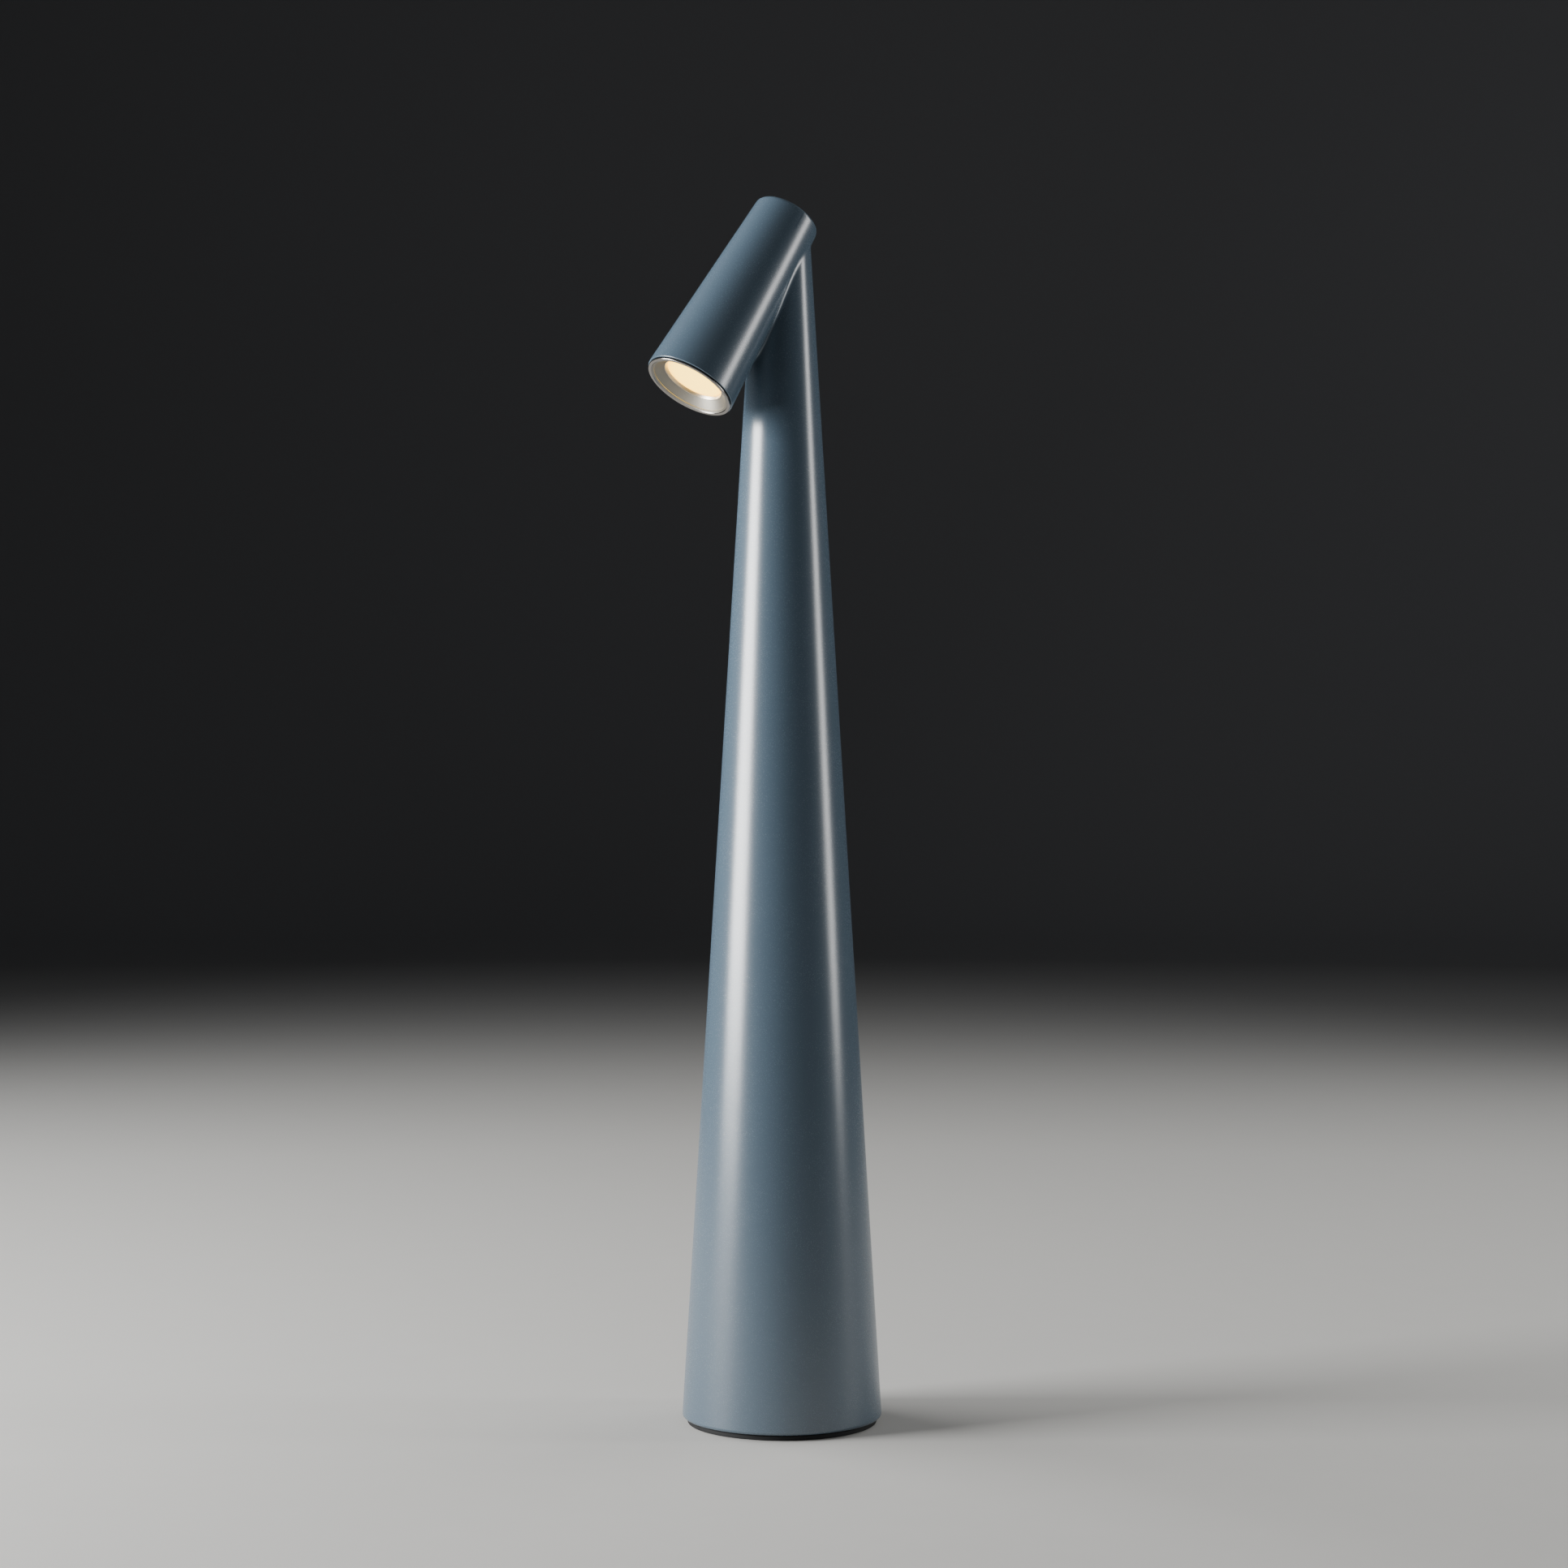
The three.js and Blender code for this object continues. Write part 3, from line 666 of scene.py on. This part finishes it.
def cast_fillet(piece):
    """Draws the mesh onto the blended form, evening the net along the seam as it goes."""
    in_steady_order(piece.data)
    bm = bmesh.new()
    bm.from_mesh(piece.data)
    bmesh.ops.remove_doubles(bm, verts=bm.verts, dist=SEAM_MERGE)
    bmesh.ops.triangulate(bm, faces=[f for f in bm.faces if len(f.verts) > 4])
    bm.verts.ensure_lookup_table()
    for turn in range(FILLET_TURNS):
        points = np.array([v.co for v in bm.verts])
        local = into_head(points)
        movable = (points[:, 2] > SEAM_LOW) & (local[:, 2] < SEAM_END)
        close = movable & (seam_closeness(points) < 2 * FILLET_BACK)
        if turn < FILLET_TURNS - 2:
            chosen = [bm.verts[i] for i in np.flatnonzero(close)]
            bmesh.ops.smooth_vert(bm, verts=chosen, factor=0.5, use_axis_x=True,
                                  use_axis_y=True, use_axis_z=True)
            points = np.array([v.co for v in bm.verts])
        moved = points[movable]
        for _ in range(4):
            distance, out = form(moved)
            moved = moved - out * distance[:, None]
        for i, point in zip(np.flatnonzero(movable), moved):
            bm.verts[i].co = point
    bm.to_mesh(piece.data)
    bm.free()


ON_SURFACE = 0.012 * MM
SAME_WAY = math.cos(math.radians(20))            # normals nearer than this belong together


def true_normals(mesh):
    """Gives the outer faces the form's own normals, so that highlights run clean."""
    mesh.shade_smooth()
    mesh.set_sharp_from_angle(angle=math.radians(35))
    distance, normals = form(positions(mesh))
    on_form = np.abs(distance) < ON_SURFACE
    corner = np.empty(len(mesh.loops) * 3)
    mesh.corner_normals.foreach_get("vector", corner)
    corner = corner.reshape(-1, 3)
    vertex_of = np.empty(len(mesh.loops), int)
    mesh.loops.foreach_get("vertex_index", vertex_of)
    target = normals[vertex_of]
    use = on_form[vertex_of] & ((corner * target).sum(1) > SAME_WAY)
    corner[use] = target[use]
    mesh.normals_split_custom_set(corner.tolist())


# ---- body shell ---------------------------------------------------------------------------

SIDES = 160
COLUMN_TOP = BODY_Z + 411.5 * MM
SEAM_LOW = BODY_Z + 352 * MM                     # the fillet lies above this
SEAM_END = 60 * MM                               # and ends before this, along the head
SEAM_STEP = 0.6 * MM
SEAM_MERGE = 0.05 * MM
FILLET_TURNS = 10
CAVITY_SIDES = 96
BASE_EDGE = 1.2 * MM
MOUTH_EDGE = 0.3 * MM


def steps_between(start, end, step):
    count = max(1, round(abs(end - start) / step))
    return [start + (end - start) * i / count for i in range(count + 1)]


def column_outside():
    """The column's cone, with close rings where the head joins it."""
    heights = steps_between(BODY_Z + BASE_EDGE, SEAM_LOW, 25 * MM)[1:]
    heights += steps_between(SEAM_LOW, COLUMN_TOP, SEAM_STEP)[1:]
    corner = rounded([(0, BODY_Z, 0), (column_radius(BODY_Z), BODY_Z, BASE_EDGE),
                      (column_radius(SEAM_LOW), SEAM_LOW, 0)])
    profile = corner[:-1] + [(column_radius(z), z) for z in heights] + [(0, COLUMN_TOP)]
    return turned("shell", profile, SIDES)


def head_outside():
    """The head's cone, closed and rounded at the back, in close rings as far as the fillet."""
    ts = steps_between(HEAD_BACK + HEAD_EDGE * 1.1, SEAM_END, SEAM_STEP)
    back = rounded([(0, HEAD_BACK, 0), (head_radius(HEAD_BACK), HEAD_BACK, HEAD_EDGE),
                    (head_radius(HEAD_FRONT), HEAD_FRONT, 0)], 8)
    mouth = rounded([(head_radius(SEAM_END), SEAM_END, 0),
                     (head_radius(HEAD_FRONT), HEAD_FRONT, MOUTH_EDGE),
                     (0, HEAD_FRONT, 0)])
    inner = [(r, HEAD_BACK) for r in steps_between(0, back[1][0], SEAM_STEP)[1:-1]]
    profile = [back[0]] + inner + back[1:-1] + [(head_radius(t), t) for t in ts] + mouth[1:]
    return turned("head", profile, SIDES, place=HEAD_PLACE)


def shell_cavity():
    """The hollow in the column and the head's bore, as two cutting tools."""
    low = BODY_Z - 1 * MM
    high = BODY_Z + 398 * MM
    column = turned("cavity", [
        (0, low),
        (column_radius(low) - COLUMN_WALL, low),
        (column_radius(high) - COLUMN_WALL, high),
        (0, high),
    ], CAVITY_SIDES)
    back = HEAD_BACK + 2.4 * MM
    chamfer = HEAD_FRONT - 1.4 * MM
    bore = head_radius(chamfer) - HEAD_WALL
    head = turned("bore", [
        (0, back),
        (head_radius(back) - HEAD_WALL, back),
        (bore, chamfer),
        (bore + 2.4 * MM, HEAD_FRONT + 1 * MM),
        (0, HEAD_FRONT + 1 * MM),
    ], CAVITY_SIDES, place=HEAD_PLACE)
    return column, head


BOSS_BOTTOM = BODY_Z + 3.3 * MM
BOSS_TOP = BOSS_BOTTOM + 13 * MM
BOSS_RADIUS = 4.2 * MM
BOSS_RING = 28.4 * MM
BOSS_ANGLES = (30, 150, 270)
BOSS_DRILL = 1.8 * MM
BOSS_ROOF = 3 * MM                               # left solid above the drilled hole
BOSS_INSET = 0.5 * MM                            # how far it stays below the outer surface


def add_bosses(shell):
    """Three bosses inside the base, drilled for the base plate's screws."""
    for angle in BOSS_ANGLES:
        turn = math.radians(angle)
        spot = at(BOSS_RING * math.cos(turn), BOSS_RING * math.sin(turn))
        boss = rod(BOSS_RADIUS, BOSS_BOTTOM, BOSS_TOP, place=spot)
        inner = turned("inner", [
            (0, BODY_Z),
            (column_radius(BODY_Z) - BOSS_INSET, BODY_Z),
            (column_radius(BOSS_TOP) - BOSS_INSET, BOSS_TOP + 1 * MM),
            (0, BOSS_TOP + 1 * MM),
        ], CAVITY_SIDES)
        combine(boss, inner, "INTERSECT")
        combine(shell, boss, "UNION")
        drill = rod(BOSS_DRILL, BODY_Z, BOSS_TOP - BOSS_ROOF, place=spot)
        combine(shell, drill, "DIFFERENCE")


SLOT_SIDES = 62                                  # leaves no corner on the middle line
REAR_WALL = (25 * MM, 40 * MM)                   # the stretch of Y that a cut through it spans
PORT_Z = 27 * MM
PORT_HOLE = 3.3 * MM
PORT_STRAIGHT = 2.9 * MM                         # from the middle to the centre of each end
PILOT_Z = 36 * MM
PILOT_RADIUS = 1.1 * MM
PILOT_COLLAR = 1.9 * MM
PILOT_COLLAR_Y = (28 * MM, 29 * MM)
BUTTON_Z = 46 * MM
BUTTON_RADIUS = 4.5 * MM
BUTTON_PROUD = 0.6 * MM
BUTTON_FLANGE = 5.7 * MM
BUTTON_CLEARANCE = 0.4 * MM
GAP = 0.3 * MM


def across(bm, height):
    """Lays a form turned about Z along +Y, at this height."""
    bmesh.ops.transform(bm, matrix=at(z=height) @ ALONG_Y, verts=bm.verts)


def draw_apart(bm, straight):
    """Draws the two halves of a round form apart, into a slot shape."""
    for vert in bm.verts:
        if abs(vert.co.x) > 1e-7:
            vert.co.x += math.copysign(straight, vert.co.x)


def follow_wall(bm, height, start, front):
    """Bends the front of a form that lies along +Y to the column's round, tapering wall."""
    level = column_radius(height)
    for vert in bm.verts:
        share = min(max((vert.co.y - start) / (front - start), 0), 1)
        wall = math.sqrt(column_radius(vert.co.z) ** 2 - vert.co.x ** 2)
        vert.co.y += share * (wall - level)


def slot_bar(radius, straight, low, high, height):
    bm = spun([(0, low), (radius, low), (radius, high), (0, high)], SLOT_SIDES)
    draw_apart(bm, straight)
    across(bm, height)
    return finished("slot", bm, None)


HOLE_EASE = 0.25 * MM                            # rounded edge of each hole in the wall


def cut_rear_holes(shell):
    """The holes for the charging socket, the pilot window and the button, edges eased."""
    combine(shell, slot_bar(PORT_HOLE, PORT_STRAIGHT, *REAR_WALL, PORT_Z), "DIFFERENCE")
    holes = ((PILOT_RADIUS + GAP, PILOT_Z), (BUTTON_RADIUS + BUTTON_CLEARANCE, BUTTON_Z))
    for radius, height in holes:
        drill = rod(radius, *REAR_WALL, sides=64, place=at(z=height) @ ALONG_Y)
        combine(shell, drill, "DIFFERENCE")
    in_steady_order(shell.data)
    bm = bmesh.new()
    bm.from_mesh(shell.data)
    rims = []
    for edge in bm.edges:
        middle = (edge.verts[0].co + edge.verts[1].co) / 2
        level = PORT_Z - 5 * MM < middle.z < BUTTON_Z + 6 * MM
        behind = level and middle.y > REAR_WALL[0]
        if behind and edge.is_manifold and edge.calc_face_angle() > math.radians(50):
            outside = math.hypot(middle.x, middle.y) - column_radius(middle.z)
            if outside > -0.1 * MM:
                rims.append(edge)
    bmesh.ops.bevel(bm, geom=rims, offset=HOLE_EASE, segments=3, profile=0.5,
                    affect="EDGES", material=-1)
    bm.to_mesh(shell.data)
    bm.free()


def place_piece(piece, body, slot, *nodes):
    """Rides the piece on its body, in place of its plain nodes; the slot is not used."""
    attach(piece, body)
    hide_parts(*nodes)
    return piece


def make_shell():
    shell = combine(column_outside(), head_outside(), "UNION")
    cast_fillet(shell)
    column, head = shell_cavity()
    combine(shell, column, "DIFFERENCE")
    combine(shell, head, "DIFFERENCE")
    add_bosses(shell)
    cut_rear_holes(shell)
    true_normals(shell.data)
    shell.data.materials.clear()
    shell.data.materials.append(shell_paint())
    return place_piece(shell, "lamp", "shell_paint", "body_shell")


make_shell()


# ---- mouth of the head --------------------------------------------------------------------

MOUTH_SIDES = 160


def head_piece(name, corners, material, parts=6):
    """A ring turned about the head's axis from (radius, along, round) corners in mm."""
    profile = rounded([(r * MM, t * MM, edge * MM) for r, t, edge in corners], parts)
    return turned(name, profile, MOUTH_SIDES, material, closed=True, place=HEAD_PLACE)


def make_bezel():
    bezel = head_piece("bezel", [
        (11.22, 68.08, 0.06),
        (11.22, 66.5, 0),
        (13.85, 66.5, 0.2),
        (13.85, 70.75, 0.1),
        (15.85, 70.75, 0.12),
        (15.85, 71.32, 0.32),
        (14.75, 71.32, 0.3),
        (14.45, 70.98, 0.1),
    ], bezel_aluminium())
    place_piece(bezel, "lamp", "bezel_aluminium", "front_bezel")


def make_seal():
    seal = head_piece("mouth_seal", [
        (14.22, 69.77, 0.37),
        (14.98, 69.77, 0.37),
        (14.98, 70.53, 0.37),
        (14.22, 70.53, 0.37),
    ], seal_rubber())
    place_piece(seal, "lamp", "seal_rubber", "bezel_seal")


def make_lens_ring():
    ring = head_piece("ring_round_lens", [
        (9.6, 64.6, 0),
        (11.15, 64.6, 0.1),
        (11.15, 68.12, 0.1),
        (10.9, 68.12, 0.08),
        (10.46, 67.1, 0.1),
        (10.46, 65.2, 0),
        (9.6, 65.2, 0),
    ], ring_aluminium())
    place_piece(ring, "lamp", "ring_aluminium", "lens_ring")


LENS_BACK = 65.5 * MM


def make_lens():
    """The lens: flat behind, very slightly domed in front, with eased edges."""
    crown = [(0, 67.2 * MM), (4 * MM, 67.19 * MM), (8 * MM, 67.15 * MM)]
    side = rounded([(8 * MM, 67.15 * MM, 0), (LENS_RADIUS, 67.1 * MM, 0.3 * MM),
                    (LENS_RADIUS, LENS_BACK, 0.2 * MM), (8 * MM, LENS_BACK, 0)])
    lens = turned("lens", crown + side[1:] + [(0, LENS_BACK)], MOUTH_SIDES, opal_glow(),
                  place=HEAD_PLACE)
    place_piece(lens, "lamp", "opal_lens", "diffuser_lens")


make_bezel()
make_seal()
make_lens_ring()
make_lens()


# ---- foot ---------------------------------------------------------------------------------

FOOT_GROOVES = (11 * MM, 19 * MM, 27 * MM)       # rings in the underside
GROOVE_HALF = 0.8 * MM
GROOVE_DEPTH = 0.4 * MM
GROOVE_EDGE = 0.1 * MM


def make_foot():
    low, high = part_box("foot_pad")
    corners = [(0, low.z, 0)]
    for middle in FOOT_GROOVES:
        roof = low.z + GROOVE_DEPTH
        corners += [(middle - GROOVE_HALF, low.z, GROOVE_EDGE),
                    (middle - GROOVE_HALF, roof, GROOVE_EDGE),
                    (middle + GROOVE_HALF, roof, GROOVE_EDGE),
                    (middle + GROOVE_HALF, low.z, GROOVE_EDGE)]
    corners += [(high.x, low.z, 0.35 * MM), (high.x, high.z, 0.15 * MM), (0, high.z, 0)]
    foot = turned("foot", rounded(corners, 4), SIDES, foot_rubber())
    place_piece(foot, "lamp", "foot_rubber", "foot_pad")


make_foot()


# ---- button, pilot window and charging socket at the back ---------------------------------

def make_button():
    """Turned button: a shallow dish, a rounded rim and a flange behind the wall."""
    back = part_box("power_button")[0].y
    front = column_radius(BUTTON_Z) + BUTTON_PROUD
    profile = rounded([
        (0, back, 0),
        (BUTTON_FLANGE, back, 0.15 * MM),
        (BUTTON_FLANGE, back + 0.9 * MM, 0.15 * MM),
        (BUTTON_RADIUS, back + 0.9 * MM, 0.1 * MM),
        (BUTTON_RADIUS, front, 0.4 * MM),
        (3.6 * MM, front, 0.5 * MM),
        (3.2 * MM, front - 0.14 * MM, 0.3 * MM),
        (0, front - 0.2 * MM, 0),
    ], 6)
    bm = spun(profile, 96)
    across(bm, BUTTON_Z)
    follow_wall(bm, BUTTON_Z, front - 2 * MM, front)
    button = finished("button", bm, button_aluminium(), 50)
    place_piece(button, "power_button", "button_aluminium", "power_button")


def make_socket_frame():
    """Plastic frame in the wall round the socket, with a flange behind the wall."""
    front = column_radius(PORT_Z) - 0.05 * MM
    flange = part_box("port_frame")[0].y
    profile = rounded([
        (1.95 * MM, flange, 0),
        (4.4 * MM, flange, 0.2 * MM),
        (4.4 * MM, flange + 1.3 * MM, 0.2 * MM),
        (3 * MM, flange + 1.3 * MM, 0.1 * MM),
        (3 * MM, front, 0.2 * MM),
        (2.3 * MM, front, 0.1 * MM),
        (1.95 * MM, front - 0.35 * MM, 0.1 * MM),
    ], 4)
    bm = spun(profile, SLOT_SIDES, closed=True)
    draw_apart(bm, PORT_STRAIGHT)
    across(bm, PORT_Z)
    follow_wall(bm, PORT_Z, front - 2 * MM, front)
    rim = finished("socket_frame", bm, port_plastic())
    place_piece(rim, "lamp", "port_plastic", "port_frame")


def eased_block(name, low, high, edge, material):
    """A block between two corners with its edges rounded."""
    bm = bmesh.new()
    bmesh.ops.create_cube(bm, size=1)
    low, high = Vector(low), Vector(high)
    size = high - low
    bmesh.ops.scale(bm, vec=size, verts=bm.verts)
    bmesh.ops.translate(bm, vec=(low + high) / 2, verts=bm.verts)
    bmesh.ops.bevel(bm, geom=bm.edges, offset=edge, segments=2, profile=0.5,
                    affect="EDGES", material=-1)
    return finished(name, bm, material)


SOCKET_DEPTH = 6.2 * MM
SOCKET_STRAIGHT = 2.84 * MM
TONGUE_WIDTH = 6.7 * MM
TONGUE_HEIGHT = 0.7 * MM
CONTACTS = 12                                    # on each face of the tongue
CONTACT_PITCH = 0.5 * MM
CONTACT_SIZE = (0.24 * MM, 3.4 * MM, 0.08 * MM)


def make_socket():
    """Pressed steel socket, its contact tongue, and the contacts on both faces of that."""
    low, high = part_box("usb_socket")
    inside = high.y - SOCKET_DEPTH
    profile = rounded([
        (0, low.y, 0),
        (1.63 * MM, low.y, 0.2 * MM),
        (1.63 * MM, high.y, 0.12 * MM),
        (1.33 * MM, high.y, 0.12 * MM),
        (1.33 * MM, inside, 0.1 * MM),
        (0, inside, 0),
    ], 3)
    bm = spun(profile, SLOT_SIDES)
    draw_apart(bm, SOCKET_STRAIGHT)
    across(bm, PORT_Z)
    steel = finished("socket_shell", bm, port_steel())
    place_piece(steel, "lamp", "port_steel", "usb_socket")

    reach = high.y - 0.6 * MM
    wide = TONGUE_WIDTH / 2
    thick = TONGUE_HEIGHT / 2
    tongue = eased_block("socket_tongue", (-wide, inside - 0.5 * MM, PORT_Z - thick),
                         (wide, reach, PORT_Z + thick), 0.1 * MM, port_plastic())
    place_piece(tongue, "lamp", "port_plastic", "usb_socket")

    bm = bmesh.new()
    for face in (-1, 1):
        for i in range(CONTACTS):
            made = bmesh.ops.create_cube(bm, size=1)["verts"]
            bmesh.ops.scale(bm, vec=CONTACT_SIZE, verts=made)
            x = (i - (CONTACTS - 1) / 2) * CONTACT_PITCH
            spot = (x, reach - 2.2 * MM, PORT_Z + face * (thick + 0.01 * MM))
            bmesh.ops.translate(bm, vec=spot, verts=made)
    gold = finished("socket_contacts", bm, contact_gold())
    place_piece(gold, "lamp", "port_steel", "usb_socket")


def make_pilot_window():
    """Clear rod from the small lamp to the wall, with a collar that seats it."""
    behind, before = PILOT_COLLAR_Y
    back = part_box("charge_light_pipe")[0].y
    front = column_radius(PILOT_Z) - 0.05 * MM
    profile = rounded([
        (0, back, 0),
        (PILOT_RADIUS, back, 0.1 * MM),
        (PILOT_RADIUS, behind, 0),
        (PILOT_COLLAR, behind, 0.1 * MM),
        (PILOT_COLLAR, before, 0.1 * MM),
        (PILOT_RADIUS, before, 0),
        (PILOT_RADIUS, front - 0.15 * MM, 0.3 * MM),
        (0, front, 0),
    ], 5)
    bm = spun(profile, 48)
    across(bm, PILOT_Z)
    window = finished("pilot_window", bm, clear_pipe())
    place_piece(window, "lamp", "light_pipe", "charge_light_pipe")


make_button()
make_socket_frame()
make_socket()
make_pilot_window()


# ---- finishes of the pieces inside --------------------------------------------------------

def finish_nodes(material, *names):
    """Gives the plain pieces of these names their finish."""
    for name in names:
        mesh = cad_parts[name].data
        mesh.materials.clear()
        mesh.materials.append(material)


finish_nodes(plain_steel(), "base_plate", "ballast_weight", "base_screw_1",
             "base_screw_2", "base_screw_3", "cradle_screw_1", "cradle_screw_2",
             "board_screw_1", "board_screw_2", "led_screw_1", "led_screw_2")
finish_nodes(cradle_plastic(), "battery_cradle", "cell_cap")
finish_nodes(component_black(), "tact_switch", "switch_plunger", "driver_inductor",
             "driver_chip")
finish_nodes(white_plastic(), "lead_connector", "led_board", "mixing_cup")
finish_nodes(cell_wrap(), "battery_cell_1", "battery_cell_2")
finish_nodes(circuit_board(), "control_board")
finish_nodes(lead_jacket(), "head_lead", "battery_lead")
finish_nodes(sink_aluminium(), "heat_sink")
finish_nodes(phosphor(), "led_emitter", "charge_indicator")


# ---- stage and light ----------------------------------------------------------------------

ROOM_RADIUS = 4.0                                # metres, as every length of the stage
ROOM_CORNER = 1.2
ROOM_HEIGHT = 3.2
PALE_UP_TO = 0.8                                 # the floor's pale part, from the lamp
DARK_FROM = 3.0


def stage_grey():
    """Pale floor round the lamp, painted darker grey in the distance: painted shade standing in
    for light falling off.
    """
    material, tree, shader, place = new_material("stage_grey")
    away = add(tree, "ShaderNodeVectorMath", {"operation": "LENGTH"})
    wire(tree, away, "0", place)
    # Painted shade: the floor's colour darkens with distance from the lamp.
    distance_shade = ramp(tree, away.outputs["Value"], PALE_UP_TO, DARK_FROM)
    tone = mix_colour(tree, distance_shade, rgb("b3b2af"), rgb("6c6d70"))
    grain_on(tree, shader, place, tone, 0.75, size=60.0, mottle=0.03, height=0.02)
    return material


def make_stage():
    """A pale round floor that turns up into a wall painted darker grey as painted shade, so
    that no edge shows.
    """
    profile = rounded([(ROOM_RADIUS, ROOM_HEIGHT, 0), (ROOM_RADIUS, 0, ROOM_CORNER), (0, 0, 0)],
                      16)
    bm = spun(profile, 96)
    bmesh.ops.reverse_faces(bm, faces=bm.faces)
    finished("floor", bm, stage_grey())


def make_light(name, angle, distance, height, width, tall, power, aim_height):
    """A soft panel, at an angle to the right of the camera as seen from the lamp."""
    data = bpy.data.lights.new(name, "AREA")
    data.shape = "RECTANGLE"
    data.size = width
    data.size_y = tall
    data.energy = power
    light = bpy.data.objects.new(name, data)
    bpy.context.scene.collection.objects.link(light)
    turn = math.radians(angle)
    way = TO_CAMERA * math.cos(turn) + TO_RIGHT * math.sin(turn)
    light.location = way * distance + Vector((0, 0, height))
    aim = Vector((0, 0, aim_height)) - light.location
    light.rotation_euler = aim.to_track_quat("-Z", "Y").to_euler()
    light.visible_camera = False
    return light


def make_world():
    world = bpy.data.worlds.new("studio")
    world.use_nodes = True
    bpy.context.scene.world = world
    sky = world.node_tree.nodes["Background"]
    sky.inputs["Color"].default_value = (0.5, 0.5, 0.5, 1)
    sky.inputs["Strength"].default_value = 0.14


def make_lights():
    """Two tall panels that show as stripes in the paint, and two fills that don't show."""
    middle = 0.52
    tall = 0.76
    make_light("key_left", -76.5, 1.0, middle, 0.46, tall, 28, middle)
    make_light("rim_right", 89, 1.0, middle, 0.17, tall, 4.0, middle)
    for side, angle, power in (("left", -115, 18), ("right", 125, 8)):
        fill = make_light("fill_" + side, angle, 1.2, 0.9, 1.0, 1.0, power, 0.3)
        fill.visible_glossy = False


make_stage()
make_lights()
make_world()
